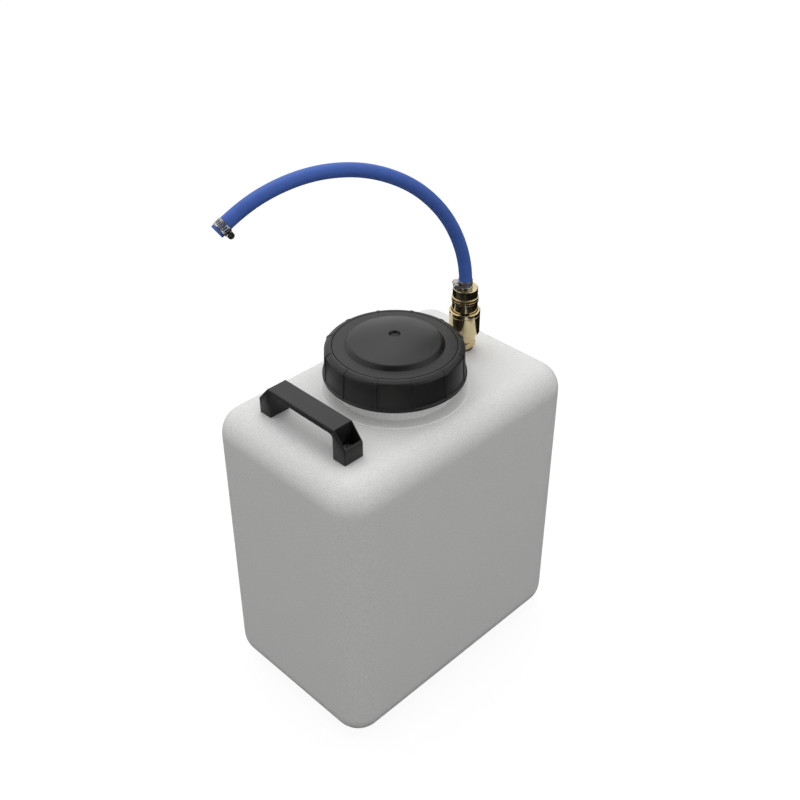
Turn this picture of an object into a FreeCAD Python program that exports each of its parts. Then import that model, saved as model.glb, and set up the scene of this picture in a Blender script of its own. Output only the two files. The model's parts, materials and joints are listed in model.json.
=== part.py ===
import FreeCAD, Part
import math
import os
import re
import Sketcher

# Portable fresh water tank: a blow-moulded canister with a screw lid, a bridge handle, and an outlet
# with a quick coupling, a short hose and two worm-drive hose clamps. Millimetres, +Z up.
# The origin is the middle of the tank's foot; X runs along the tank, Y across it.

doc = FreeCAD.newDocument("fresh_water_tank")

# Driving dimensions
SIZES = [
    ("tank_length", 280.0, "tank, outside, along X"),
    ("tank_width", 182.0, "tank, outside, along Y"),
    ("tank_height", 300.0, "tank, outside, foot to top face"),
    ("tank_edge_radius", 26.0, "rounding of all twelve tank edges"),
    ("tank_wall", 3.0, "tank wall thickness"),
    ("collar_radius", 66.2, "round step on the top face round the neck"),
    ("collar_height", 1.0, "height of that step"),
    ("collar_rounding", 0.8, "rounding of its rim"),
    ("neck_radius", 54.6, "outside of the neck's wall"),
    ("neck_wall", 3.6, "neck wall thickness"),
    ("neck_height", 37.5, "neck rim above the top face"),
    ("thread_pitch", 6.0, "pitch of the lid thread, right hand"),
    ("thread_depth", 2.3, "height of the thread ridge"),
    ("thread_root_width", 3.6, "width of the ridge at its root"),
    ("thread_crest_width", 1.6, "width of the ridge at its crest"),
    ("thread_turns", 2.0, "turns of ridge on the neck"),
    ("thread_start", 20.0, "first turn of the ridge above the top face"),
    ("thread_clearance", 0.4, "radial clearance of the thread"),
    ("ring_flange_radius", 64.4, "lip at the lower edge of the screw ring"),
    ("ring_flange_height", 1.8, "thickness of that lip"),
    ("ring_skirt_radius", 62.8, "skirt of the ring above the lip"),
    ("ring_shoulder_radius", 62.0, "skirt of the ring at its upper end"),
    ("ring_bevel_radius", 59.4, "inner edge of the ring's upper bevel"),
    ("ring_lift", 15.3, "lower edge of the ring above the top face"),
    ("ring_height", 29.0, "height of the screw ring"),
    ("ring_shoulder_drop", 2.7, "bevel start below the top of the ring"),
    ("ring_bevel_drop", 0.9, "bevel end below the top of the ring"),
    ("ring_lip_thickness", 2.5, "inward lip that presses the disc down"),
    ("snap_bead_depth", 0.7, "bead that keeps the disc in the ring"),
    ("snap_bead_height", 0.9, "height of that bead"),
    ("grip_count", 12.0, "grip ribs round the ring"),
    ("grip_width", 2.6, "width of one rib"),
    ("grip_depth", 1.2, "how far a rib stands out of the skirt"),
    ("disc_edge_gap", 0.5, "gap between disc and ring, seen as a dark circle"),
    ("disc_flange_overlap", 1.8, "disc flange under the ring's lip"),
    ("dome_foot_radius", 44.7, "foot of the raised dome on the disc"),
    ("dome_top_radius", 39.7, "upper end of the dome's slope"),
    ("dome_slope_height", 4.2, "height of the dome's slope"),
    ("dome_height", 10.4, "dome at its middle above the disc's rim"),
    ("disc_wall", 2.6, "wall of the dome"),
    ("dimple_radius", 4.9, "round dimple in the middle of the dome"),
    ("dimple_depth", 3.4, "depth of the dimple"),
    ("gasket_thickness", 2.0, "flat lid gasket"),
    ("gasket_inset", 0.3, "gasket inside the neck wall, each side"),
    ("centring_rib_height", 5.5, "rib under the disc that centres it in the neck"),
    ("centring_rib_wall", 1.8, "thickness of that rib"),
    ("centring_gap", 0.6, "gap between that rib and the neck bore"),
    ("handle_inset", 39.6, "middle of the handle from the tank's end"),
    ("handle_length", 108.8, "handle, overall, along Y"),
    ("handle_width", 20.8, "handle, along X"),
    ("handle_height", 29.6, "top of the grip above the tank"),
    ("handle_bar", 5.2, "thickness of the grip bar"),
    ("handle_side_height", 14.5, "upright outer face of a leg"),
    ("handle_slope_run", 12.6, "sloping end of the grip, along Y"),
    ("handle_leg", 14.4, "depth of a leg along Y"),
    ("handle_throat_radius", 4.0, "inner corner between leg and bar"),
    ("handle_edge_radius", 1.2, "rounding of the long edges"),
    ("handle_rim", 1.5, "thin wall round the screw pocket"),
    ("handle_floor", 5.0, "floor under the screw head"),
    ("screw_radius", 2.5, "handle screw, thread"),
    ("screw_length", 16.0, "handle screw under its head"),
    ("screw_head_radius", 4.25, "socket head"),
    ("screw_head_height", 5.0, "socket head"),
    ("screw_key", 4.0, "hexagon socket across its flats"),
    ("screw_key_depth", 2.6, "depth of the socket"),
    ("screw_gap", 0.25, "screw in its hole in the handle"),
    ("thread_fit", 0.05, "radial play in a fine thread"),
    ("washer_radius", 5.0, "washer under the screw head"),
    ("washer_thickness", 1.0, "washer under the screw head"),
    ("insert_radius", 4.5, "threaded insert in the tank"),
    ("insert_depth", 13.0, "length of the insert"),
    ("boss_wall", 3.0, "plastic round and under the insert"),
    ("outlet_bias", 0.975, "outlet nearer to the lid than the middle of its free place"),
    ("shank_radius", 6.6, "threaded shank of the nipple"),
    ("shank_gap", 0.25, "shank in the hole in the tank"),
    ("outlet_washer_radius", 8.9, "flat seals on both sides of the wall"),
    ("outlet_washer_thickness", 1.5, "flat seals on both sides of the wall"),
    ("nut_flats", 19.0, "lock nut across its flats"),
    ("nut_height", 6.0, "lock nut"),
    ("shank_tip", 2.0, "shank below the lock nut"),
    ("foot_flats", 19.8, "hexagon at the nipple's foot across its flats"),
    ("foot_height", 8.0, "height of the foot"),
    ("foot_rim_radius", 8.7, "round underside of the foot, on the seal"),
    ("foot_bevel", 2.0, "height of the foot's lower bevel"),
    ("waist_radius", 9.3, "groove above the hexagon"),
    ("waist_height", 0.8, "height of that groove"),
    ("flare_low_radius", 11.0, "flared body, lower end"),
    ("flare_high_radius", 11.8, "flared body, upper end"),
    ("flare_height", 7.2, "flared body"),
    ("nipple_bore", 2.75, "radius of the water way in the nipple"),
    ("dip_barb_length", 16.0, "barb for the dip tube"),
    ("dip_tube_bore", 3.6, "inner radius of the dip tube"),
    ("dip_tube_wall", 1.4, "wall of the dip tube"),
    ("barb_step", 0.4, "height of a barb's teeth"),
    ("strainer_radius", 9.0, "foot strainer"),
    ("strainer_height", 28.0, "foot strainer"),
    ("strainer_lift", 3.0, "strainer above the tank's inner floor"),
    ("strainer_wall", 1.8, "wall of the strainer"),
    ("strainer_slots", 8.0, "upright slots round the strainer"),
    ("strainer_slot_width", 2.0, "width of one slot"),
    ("strainer_slot_height", 13.0, "height of one slot"),
    ("plug_radius", 7.9, "plug of the nipple in the coupler"),
    ("plug_length", 13.0, "thick part of the plug"),
    ("plug_tip_radius", 5.95, "thin end of the plug, in the seal"),
    ("plug_tip_length", 6.5, "thin end of the plug"),
    ("running_gap", 0.1, "coupler on the plug"),
    ("ball_radius", 2.0, "locking balls"),
    ("ball_circle", 8.9, "radius of the circle of ball centres"),
    ("ball_height", 8.3, "ball centres above the flared body"),
    ("ball_count", 6.0, "locking balls"),
    ("ball_play", 0.2, "ball in its groove on the plug"),
    ("ball_hole_play", 0.08, "ball in its hole in the coupler"),
    ("mouth_gap", 0.6, "coupler above the flared body"),
    ("barrel_radius", 10.9, "coupler body under the sleeve"),
    ("sleeve_fit", 0.07, "radial play of the sleeve on the body"),
    ("sleeve_radius", 14.45, "outside of the release sleeve"),
    ("sleeve_height", 24.2, "release sleeve"),
    ("sleeve_chamfer", 0.9, "chamfers of the sleeve"),
    ("sleeve_recess_radius", 12.4, "room for the balls when released"),
    ("sleeve_lip_height", 5.85, "lip of the sleeve over the balls"),
    ("spring_chamber_radius", 12.5, "room for the sleeve's spring"),
    ("sleeve_mark_depth", 0.35, "turned line near the sleeve's top"),
    ("sleeve_mark_height", 0.8, "turned line near the sleeve's top"),
    ("stop_ring_thickness", 1.2, "snap ring that stops the sleeve"),
    ("stop_ring_radius", 12.0, "outside of the snap ring"),
    ("stop_ring_depth", 0.7, "groove of the snap ring in the body"),
    ("stop_ring_height", 3.9, "snap ring above the flared body"),
    ("spring_wire", 0.5, "wire radius of the sleeve's spring"),
    ("spring_coil", 11.6, "mean radius of the sleeve's spring"),
    ("spring_turns", 4.0, "turns of the sleeve's spring"),
    ("spring_seat_height", 22.5, "spring's upper seat above the flared body"),
    ("neck_band_radius", 11.8, "coupler body above the sleeve"),
    ("knurl_radius", 12.4, "ring band of the coupler body"),
    ("knurl_low", 32.9, "lower edge of that band above the flared body"),
    ("knurl_height", 5.2, "height of that band"),
    ("body_height", 38.8, "top of the coupler body above the flared body"),
    ("seal_section", 1.1, "section radius of the round seal"),
    ("seal_height", 15.9, "middle of that seal above the flared body"),
    ("chamber_radius", 8.6, "valve chamber"),
    ("chamber_top", 28.0, "top of the valve chamber above the flared body"),
    ("valve_radius", 7.2, "valve disc"),
    ("valve_thickness", 2.4, "valve disc"),
    ("valve_nose_radius", 4.2, "nose of the valve on the plug's tip"),
    ("valve_nose_length", 1.9, "nose of the valve on the plug's tip"),
    ("valve_slot", 1.8, "cross slots in the nose"),
    ("valve_spring_wire", 0.45, "wire radius of the valve spring"),
    ("valve_spring_coil", 5.2, "mean radius of the valve spring"),
    ("valve_spring_turns", 3.0, "turns of the valve spring"),
    ("tail_stub_radius", 7.5, "hose tail's threaded stub in the body"),
    ("tail_pocket_radius", 6.3, "spring seat in that stub"),
    ("tail_pocket_depth", 4.5, "spring seat in that stub"),
    ("tail_gap", 0.2, "line between body and hose tail"),
    ("tail_collar_radius", 11.6, "collar of the hose tail"),
    ("tail_collar_height", 8.2, "collar of the hose tail"),
    ("tail_bore", 3.0, "water way of the hose tail"),
    ("tail_barb_length", 16.0, "barb in the hose"),
    ("tail_barb_teeth", 3.0, "teeth of that barb"),
    ("hose_radius", 6.0, "outside of the hose"),
    ("hose_wall", 2.0, "wall of the hose"),
    ("hose_azimuth", 166.0, "upright plane of the hose's arc, degrees"),
    ("band_width", 7.0, "clamp band"),
    ("band_thickness", 0.7, "clamp band"),
    ("band_fit", 0.02, "band on the hose"),
    ("band_slots", 20.0, "slots round the band"),
    ("band_slot_width", 0.9, "width of one slot"),
    ("band_slot_length", 4.2, "length of one slot"),
    ("worm_radius", 2.0, "worm screw of a clamp"),
    ("worm_play", 0.15, "worm in its housing"),
    ("worm_offset", 2.3, "worm axis outside the band"),
    ("worm_length", 9.6, "threaded length of the worm"),
    ("worm_groove", 0.35, "depth of the worm's grooves"),
    ("worm_groove_count", 5.0, "grooves along the worm"),
    ("housing_length", 7.5, "worm housing"),
    ("housing_width", 6.4, "worm housing"),
    ("housing_wall", 0.6, "worm housing"),
    ("worm_collar", 0.6, "collar under the head: its height, and its step outside the worm"),
    ("worm_head_flats", 5.0, "hexagon head of the worm"),
    ("worm_head_height", 2.4, "hexagon head of the worm"),
    ("worm_slot_width", 0.8, "driver slot in the head"),
    ("low_clamp_lift", 0.3, "lower clamp above the collar"),
    ("low_clamp_turn", 140.0, "housing of the lower clamp, degrees about the outlet"),
    ("end_clamp_inset", 2.5, "bare hose beyond the end clamp"),
    ("end_clamp_turn", 307.0, "housing of the end clamp, degrees about the hose"),
]

sheet = doc.addObject("Spreadsheet::Sheet", "Sizes")
for row, (alias, number, meaning) in enumerate(SIZES, start=1):
    sheet.set(f"A{row}", meaning)
    sheet.set(f"B{row}", str(number))
    sheet.setAlias(f"B{row}", alias)
doc.recompute()

# Levels and places that follow from the driving dimensions
FOLLOWING = {
    "inner_top": "tank_height - tank_wall",
    "neck_rim": "tank_height + neck_height",
    "gasket_top": "neck_rim + gasket_thickness",
    "ring_foot": "tank_height + ring_lift",
    "ring_top": "ring_foot + ring_height",
    "lip_under": "ring_top - ring_lip_thickness",
    "ring_bore": "neck_radius + thread_depth + thread_clearance",
    "lip_bore": "ring_bore - disc_flange_overlap",
    "disc_radius": "lip_bore - disc_edge_gap",
    "disc_flange": "ring_bore - disc_edge_gap + 0.2",
    "disc_flange_top": "lip_under - 0.1",
    "neck_bore": "neck_radius - neck_wall",
    "handle_x": "handle_inset - tank_length / 2",
    "screw_y": "(handle_length - handle_leg) / 2",
    "handle_top_length": "handle_length - 2 * handle_slope_run",
    "outlet_room": "tank_length / 2 - tank_edge_radius - outlet_washer_radius",
    "outlet_x": "(ring_flange_radius + sleeve_radius + outlet_room) / 2 - outlet_bias",
    "foot_low": "tank_height + outlet_washer_thickness",
    "foot_top": "foot_low + foot_height",
    "flare_low": "foot_top + waist_height",
    "flare_top": "flare_low + flare_height",
    "nut_top": "inner_top - outlet_washer_thickness",
    "shank_end": "nut_top - nut_height - shank_tip",
    "dip_barb_end": "shank_end - dip_barb_length",
    "dip_tube_radius": "dip_tube_bore + dip_tube_wall",
    "strainer_low": "tank_wall + strainer_lift",
    "strainer_top": "strainer_low + strainer_height",
    "plug_top": "flare_top + plug_length",
    "tip_top": "plug_top + plug_tip_length",
    "ball_level": "flare_top + ball_height",
    "mouth": "flare_top + mouth_gap",
    "sleeve_top": "flare_top + sleeve_height",
    "stop_low": "flare_top + stop_ring_height",
    "stop_top": "stop_low + stop_ring_thickness",
    "lip_low": "stop_top + 0.05",
    "lip_top": "lip_low + sleeve_lip_height",
    "spring_seat": "flare_top + spring_seat_height",
    "knurl_foot": "flare_top + knurl_low",
    "knurl_top": "knurl_foot + knurl_height",
    "body_top": "flare_top + body_height",
    "seal_level": "flare_top + seal_height",
    "valve_seat": "tip_top + 0.5",
    "valve_foot": "tip_top + valve_nose_length",
    "valve_top": "valve_foot + valve_thickness",
    "chamber_end": "flare_top + chamber_top",
    "collar_low": "body_top + tail_gap",
    "collar_top": "collar_low + tail_collar_height",
    "hose_bore": "hose_radius - hose_wall",
    "band_bore": "hose_radius + band_fit",
    "band_radius": "band_bore + band_thickness",
    "worm_x": "band_radius + worm_offset",
}
ALIASES = {alias for alias, number, meaning in SIZES}


def bound(text):
    """The expression of a length: each size becomes its cell, each level what it follows from."""

    def one(match):
        word = match.group(0)
        if word in ALIASES:
            return "Sizes." + word
        if word in FOLLOWING:
            return "(" + bound(FOLLOWING[word]) + ")"
        return word

    return re.sub(r"[a-z_]+[a-z]", one, text)


def length(text):
    """The number that such an expression gives, in millimetres."""
    return float(sheet.evalExpression(bound(text)))


# Features
def new_body(name):
    return doc.addObject("PartDesign::Body", name)


def datum(body, role):
    """One of the body's own origin planes or axes."""
    return next(part for part in body.Origin.OriginFeatures if part.Role == role)


def new_sketch(body, name, role, lift="0"):
    """An empty sketch on one of the body's own planes, raised along the plane's normal."""
    sketch = body.newObject("Sketcher::SketchObject", name)
    sketch.AttachmentSupport = [(datum(body, role), "")]
    sketch.MapMode = "FlatFace"
    if lift != "0":
        sketch.setExpression("AttachmentOffset.Base.z", bound(lift))
    return sketch


def hold(sketch, index, corner, across, along):
    """Fixes one end of a line at two named lengths from the sketch's origin."""
    for kind, text in (("DistanceX", across), ("DistanceY", along)):
        number = sketch.addConstraint(Sketcher.Constraint(kind, -1, 1, index, corner, length(text)))
        if re.search("[a-z]", text):
            sketch.setExpression(f"Constraints[{number}]", bound(text))


def draw_outline(sketch, corners):
    """A closed outline of straight lines through corners given as pairs of lengths."""
    places = [FreeCAD.Vector(length(across), length(along), 0) for across, along in corners]
    count = len(corners)
    for index in range(count):
        sketch.addGeometry(Part.LineSegment(places[index], places[(index + 1) % count]), False)
    for index in range(count):
        sketch.addConstraint(Sketcher.Constraint("Coincident", index, 2, (index + 1) % count, 1))
    for index, (across, along) in enumerate(corners):
        hold(sketch, index, 1, across, along)


def draw_circle(sketch, across, along, radius):
    """A circle at two lengths from the sketch's origin."""
    centre = FreeCAD.Vector(length(across), length(along), 0)
    index = sketch.addGeometry(Part.Circle(centre, FreeCAD.Vector(0, 0, 1), length(radius)), False)
    hold(sketch, index, 3, across, along)
    number = sketch.addConstraint(Sketcher.Constraint("Radius", index, length(radius)))
    sketch.setExpression(f"Constraints[{number}]", bound(radius))


def draw_hexagon(sketch, flats):
    """A regular hexagon round the sketch's origin, two of its corners on the first axis."""
    reach = f"({flats}) / sqrt(3)"
    half = f"({flats}) / 2"
    draw_outline(
        sketch,
        [
            (reach, "0"),
            (f"{reach} / 2", half),
            (f"-{reach} / 2", half),
            (f"-{reach}", "0"),
            (f"-{reach} / 2", f"-{half}"),
            (f"{reach} / 2", f"-{half}"),
        ],
    )


def box_outline(across, along, middle_x="0", middle_y="0"):
    """The four corners of a rectangle given by its sides and its middle."""
    left, right = f"{middle_x} - ({across}) / 2", f"{middle_x} + ({across}) / 2"
    low, high = f"{middle_y} - ({along}) / 2", f"{middle_y} + ({along}) / 2"
    return [(left, low), (right, low), (right, high), (left, high)]


def add_turn(body, name, corners, kind="Revolution"):
    """Turns an outline of (radius, height) corners round the body's upright axis."""
    sketch = new_sketch(body, name + "_outline", "XZ_Plane")
    draw_outline(sketch, corners)
    turn = body.newObject("PartDesign::" + kind, name)
    turn.Profile = sketch
    turn.ReferenceAxis = (sketch, ["V_Axis"])
    turn.Angle = 360
    return turn


def add_pad(body, name, sketch, height, both_ways=False):
    pad = body.newObject("PartDesign::Pad", name)
    pad.Profile = sketch
    pad.setExpression("Length", bound(height))
    pad.Midplane = both_ways
    return pad


def add_pocket(body, name, sketch, depth, reverse=False, both_ways=False):
    pocket = body.newObject("PartDesign::Pocket", name)
    pocket.Profile = sketch
    pocket.setExpression("Length", bound(depth))
    pocket.Reversed = reverse
    pocket.Midplane = both_ways
    return pocket


def add_polar(body, name, feature, count):
    """Copies a feature round the body's upright axis."""
    pattern = body.newObject("PartDesign::PolarPattern", name)
    pattern.Originals = [feature]
    pattern.Axis = (datum(body, "Z_Axis"), [""])
    pattern.Angle = 360
    pattern.setExpression("Occurrences", bound(count))
    body.Tip = pattern
    return pattern


def edges_where(feature, wanted):
    """Names of a feature's edges that pass a test on the edge."""
    doc.recompute()
    return [f"Edge{i}" for i, edge in enumerate(feature.Shape.Edges, start=1) if wanted(edge)]


def add_fillet(body, name, feature, edges, radius):
    fillet = body.newObject("PartDesign::Fillet", name)
    fillet.Base = (feature, edges)
    fillet.setExpression("Radius", bound(radius))
    body.Tip = fillet
    return fillet


def stand(thing, across="0", along="0", height="0"):
    """Places an object at named lengths from the origin."""
    for axis, text in (("x", across), ("y", along), ("z", height)):
        if text != "0":
            thing.setExpression(f"Placement.Base.{axis}", bound(text))


def joined(kind, name, first, second):
    """Part::Cut, Part::Fuse or Part::Common of two objects."""
    result = doc.addObject("Part::" + kind, name)
    result.Base = first
    result.Tool = second
    return result


def grouped(name, parts):
    group = doc.addObject("Part::Compound", name)
    group.Links = parts
    return group


NODES = []


def node(thing, name):
    """Names a finished sub-part."""
    thing.Label = name
    NODES.append(thing)


def spiral(name, outline, radius, pitch, turns, low, turn_degrees=0.0):
    """A solid that carries an outline of (radius, height) numbers up a right-hand helix."""
    helix = Part.makeHelix(pitch, pitch * turns, radius)
    corners = [FreeCAD.Vector(across, 0, along) for across, along in outline]
    profile = Part.makePolygon(corners + corners[:1])
    swept = Part.Wire(helix.Edges).makePipeShell([profile], True, True)
    thing = doc.addObject("Part::Feature", name)
    thing.Shape = swept
    turned = FreeCAD.Rotation(FreeCAD.Vector(0, 0, 1), turn_degrees)
    thing.Placement = FreeCAD.Placement(FreeCAD.Vector(0, 0, low), turned)
    return thing


# Tank: rounded box, hollow, with the round step and the neck on its top face
def rounded_block(name, shrink, radius):
    """A block with all twelve edges rounded, smaller than the tank by a margin on each side."""
    body = new_body(name)
    sketch = new_sketch(body, name + "_foot", "XY_Plane", shrink)
    draw_outline(sketch, box_outline(f"tank_length - 2 * {shrink}", f"tank_width - 2 * {shrink}"))
    block = add_pad(body, name + "_block", sketch, f"tank_height - 2 * {shrink}")
    add_fillet(body, name + "_edges", block, edges_where(block, lambda edge: True), radius)
    return body


outer = rounded_block("tank_outside", "0", "tank_edge_radius")
cavity = rounded_block("tank_inside", "tank_wall", "tank_edge_radius - tank_wall")
shell = joined("Cut", "tank_walls", outer, cavity)

neck = new_body("tank_neck")
neck_turn = add_turn(
    neck,
    "neck_wall_turn",
    [
        ("neck_bore - 4", "inner_top"),
        ("collar_radius", "inner_top"),
        ("collar_radius", "tank_height + collar_height"),
        ("neck_radius", "tank_height + collar_height"),
        ("neck_radius", "neck_rim"),
        ("neck_bore - 4", "neck_rim"),
    ],
)
collar_edge = edges_where(
    neck_turn,
    lambda edge: abs(edge.BoundBox.ZMin - length("tank_height + collar_height")) < 0.01
    and abs(edge.BoundBox.XMax - length("collar_radius")) < 0.01
    and edge.BoundBox.ZLength < 0.01,
)
add_fillet(neck, "collar_rim", neck_turn, collar_edge, "collar_rounding")

crest, root = length("thread_crest_width") / 2, length("thread_root_width") / 2
sunk = 0.3
neck_wall = length("neck_radius")
neck_crest = neck_wall + length("thread_depth")
neck_ridge = spiral(
    "neck_ridge",
    [(neck_wall - sunk, -root), (neck_crest, -crest), (neck_crest, crest), (neck_wall - sunk, root)],
    neck_wall,
    length("thread_pitch"),
    length("thread_turns"),
    length("tank_height + thread_start"),
)

bosses = new_body("tank_bosses")
boss_sketch = new_sketch(bosses, "boss_circles", "XY_Plane", "inner_top - insert_depth")
for side in ("", "-"):
    draw_circle(boss_sketch, "handle_x", side + "screw_y", "insert_radius + boss_wall")
add_pad(bosses, "boss_posts", boss_sketch, "insert_depth + tank_wall / 2")

mouth_cut = doc.addObject("Part::Cylinder", "mouth_cut")
mouth_cut.setExpression("Radius", bound("neck_bore"))
mouth_cut.setExpression("Height", bound("neck_height + 4 * tank_wall"))
stand(mouth_cut, height="inner_top - 2 * tank_wall")
outlet_cut = doc.addObject("Part::Cylinder", "outlet_cut")
outlet_cut.setExpression("Radius", bound("shank_radius + shank_gap"))
outlet_cut.setExpression("Height", bound("4 * tank_wall"))
stand(outlet_cut, "outlet_x", height="inner_top - tank_wall")
insert_cuts = []
for side in ("", "-"):
    cut = doc.addObject("Part::Cylinder", "insert_cut")
    cut.setExpression("Radius", bound("insert_radius"))
    cut.setExpression("Height", bound("insert_depth + tank_wall"))
    stand(cut, "handle_x", side + "screw_y", "tank_height - insert_depth")
    insert_cuts.append(cut)
material = doc.addObject("Part::MultiFuse", "tank_material")
material.Shapes = [shell, neck, neck_ridge, bosses]
openings = doc.addObject("Part::MultiFuse", "tank_openings")
openings.Shapes = [mouth_cut, outlet_cut] + insert_cuts
node(joined("Cut", "tank_shell", material, openings), "tank_shell")

# Screw ring of the lid
ring = new_body("ring_body")
add_turn(
    ring,
    "ring_wall",
    [
        ("ring_bore", "ring_foot"),
        ("ring_flange_radius", "ring_foot"),
        ("ring_flange_radius", "ring_foot + ring_flange_height"),
        ("ring_skirt_radius", "ring_foot + ring_flange_height + 0.6"),
        ("ring_shoulder_radius", "ring_top - ring_shoulder_drop"),
        ("ring_bevel_radius", "ring_top - ring_bevel_drop"),
        ("ring_bevel_radius - 1.2", "ring_top"),
        ("lip_bore", "ring_top"),
        ("lip_bore", "lip_under"),
        ("ring_bore", "lip_under"),
        ("ring_bore", "gasket_top + 0.1"),
        ("ring_bore - snap_bead_depth", "gasket_top - 0.3"),
        ("ring_bore - snap_bead_depth", "gasket_top - 0.3 - snap_bead_height / 2"),
        ("ring_bore", "gasket_top - 0.4 - snap_bead_height"),
    ],
)
rib_sketch = new_sketch(ring, "grip_outline", "XZ_Plane")
draw_outline(
    rib_sketch,
    [
        ("ring_shoulder_radius - 1.5", "ring_foot + ring_flange_height / 2"),
        ("ring_flange_radius - 0.3", "ring_foot + ring_flange_height / 2"),
        ("ring_skirt_radius + grip_depth - 0.2", "ring_foot + ring_flange_height + 3"),
        ("ring_shoulder_radius + grip_depth", "ring_top - ring_shoulder_drop - 0.6"),
        ("ring_shoulder_radius + grip_depth - 0.7", "ring_top - ring_shoulder_drop + 0.8"),
        ("ring_bevel_radius + 0.4", "ring_top - ring_bevel_drop + 0.7"),
        ("lip_bore + 0.8", "ring_top + 0.35"),
        ("lip_bore + 0.8", "ring_top - 1"),
        ("ring_shoulder_radius - 1.5", "ring_top - ring_lip_thickness"),
    ],
)
rib = add_pad(ring, "grip_rib", rib_sketch, "grip_width", both_ways=True)
add_polar(ring, "grip_ribs", rib, "grip_count")

ring_wall = length("ring_bore")
ring_crest = length("neck_radius + thread_clearance")
half_pitch = length("thread_pitch") / 2
ring_turns = length("thread_turns") - 0.5
ring_ridge = spiral(
    "ring_ridge",
    [(ring_wall + sunk, -root), (ring_wall + sunk, root), (ring_crest, crest), (ring_crest, -crest)],
    ring_wall,
    length("thread_pitch"),
    ring_turns,
    length("tank_height + thread_start") + half_pitch,
)
node(joined("Fuse", "lid_ring", ring, ring_ridge), "lid_ring")

# Disc of the lid: a plate held under the ring's lip, with a low dome
disc = new_body("disc_core")
disc_turn = add_turn(
    disc,
    "disc_plate",
    [
        ("0", "gasket_top"),
        ("disc_flange", "gasket_top"),
        ("disc_flange", "disc_flange_top"),
        ("disc_radius", "disc_flange_top"),
        ("disc_radius", "ring_top"),
        ("dome_foot_radius", "ring_top"),
        ("dome_top_radius", "ring_top + dome_slope_height"),
        ("0", "ring_top + dome_slope_height"),
    ],
)


def cap_radius(base, rise):
    """Radius of the sphere whose cap has this base radius and this rise."""
    return f"(({base}) * ({base}) + ({rise}) * ({rise})) / (2 * ({rise}))"


def lens(name, base, rise, level):
    """A thin cap of a sphere standing on a level: ball and disc in common."""
    ball = doc.addObject("Part::Sphere", name + "_ball")
    ball.setExpression("Radius", bound(cap_radius(base, rise)))
    stand(ball, height=f"{level} + {rise} - {cap_radius(base, rise)}")
    slab = doc.addObject("Part::Cylinder", name + "_slab")
    slab.setExpression("Radius", bound(base))
    slab.setExpression("Height", bound(f"2 * ({rise})"))
    stand(slab, height=f"{level} - 0.01")
    return joined("Common", name, ball, slab)


crown_rise = "(dome_height - dome_slope_height)"
crown = lens("lid_crown", "dome_top_radius", crown_rise, "(ring_top + dome_slope_height)")
hollow = lens(
    "lid_hollow", "(dome_top_radius - disc_wall)", crown_rise, "(ring_top + dome_slope_height - disc_wall)"
)
hollow_foot = doc.addObject("Part::Cone", "lid_hollow_foot")
hollow_foot.setExpression("Radius1", bound("dome_foot_radius - disc_wall"))
hollow_foot.setExpression("Radius2", bound("dome_top_radius - disc_wall"))
hollow_foot.setExpression("Height", bound("ring_top + dome_slope_height - disc_wall - gasket_top"))
stand(hollow_foot, height="gasket_top")
dimple = doc.addObject("Part::Cone", "lid_dimple")
dimple.setExpression("Radius1", bound("dimple_radius - 0.6"))
dimple.setExpression("Radius2", bound("dimple_radius + 0.4"))
dimple.setExpression("Height", bound("dimple_depth + 1"))
stand(dimple, height="ring_top + dome_height - dimple_depth")
dimple_back = doc.addObject("Part::Cylinder", "lid_dimple_back")
dimple_back.setExpression("Radius", bound("dimple_radius + disc_wall - 0.6"))
dimple_back.setExpression("Height", bound("dimple_depth"))
stand(dimple_back, height="ring_top + dome_height - dimple_depth - disc_wall")
centring = new_body("centring_rib")
add_turn(
    centring,
    "centring_rib_turn",
    [
        ("neck_bore - centring_gap - centring_rib_wall", "gasket_top - centring_rib_height"),
        ("neck_bore - centring_gap - 0.6", "gasket_top - centring_rib_height"),
        ("neck_bore - centring_gap", "gasket_top - centring_rib_height + 1"),
        ("neck_bore - centring_gap", "gasket_top + 0.5"),
        ("neck_bore - centring_gap - centring_rib_wall", "gasket_top + 0.5"),
    ],
)
dome = doc.addObject("Part::MultiFuse", "lid_dome")
dome.Shapes = [disc, crown, centring]
dome_hollow = doc.addObject("Part::MultiFuse", "lid_dome_hollow")
dome_hollow.Shapes = [hollow, hollow_foot]
dome_core = joined("Cut", "lid_dome_core", dome_hollow, dimple_back)
dome_open = joined("Cut", "lid_dome_open", dome, dome_core)
node(joined("Cut", "lid_disc_shape", dome_open, dimple), "lid_disc")

gasket = new_body("gasket_body")
add_turn(
    gasket,
    "gasket_ring",
    [
        ("neck_bore + gasket_inset", "neck_rim"),
        ("neck_radius - gasket_inset", "neck_rim"),
        ("neck_radius - gasket_inset", "gasket_top"),
        ("neck_bore + gasket_inset", "gasket_top"),
    ],
)
node(gasket, "lid_gasket")

# Bridge handle: one moulding with a screw pocket in each sloping end
handle = new_body("handle_body")
handle_sketch = new_sketch(handle, "handle_side_view", "YZ_Plane")
inner_y = "(handle_length / 2 - handle_leg)"
draw_outline(
    handle_sketch,
    [
        ("-handle_length / 2", "0"),
        ("-" + inner_y, "0"),
        ("-" + inner_y, "handle_height - handle_bar"),
        (inner_y, "handle_height - handle_bar"),
        (inner_y, "0"),
        ("handle_length / 2", "0"),
        ("handle_length / 2", "handle_side_height"),
        ("handle_top_length / 2", "handle_height"),
        ("-handle_top_length / 2", "handle_height"),
        ("-handle_length / 2", "handle_side_height"),
    ],
)
bar = add_pad(handle, "handle_bar_and_legs", handle_sketch, "handle_width", both_ways=True)
throat = edges_where(
    bar,
    lambda edge: edge.BoundBox.XLength > 1
    and abs(edge.BoundBox.ZMin - length("handle_height - handle_bar")) < 0.01,
)
throats = add_fillet(handle, "handle_throats", bar, throat, "handle_throat_radius")
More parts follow.
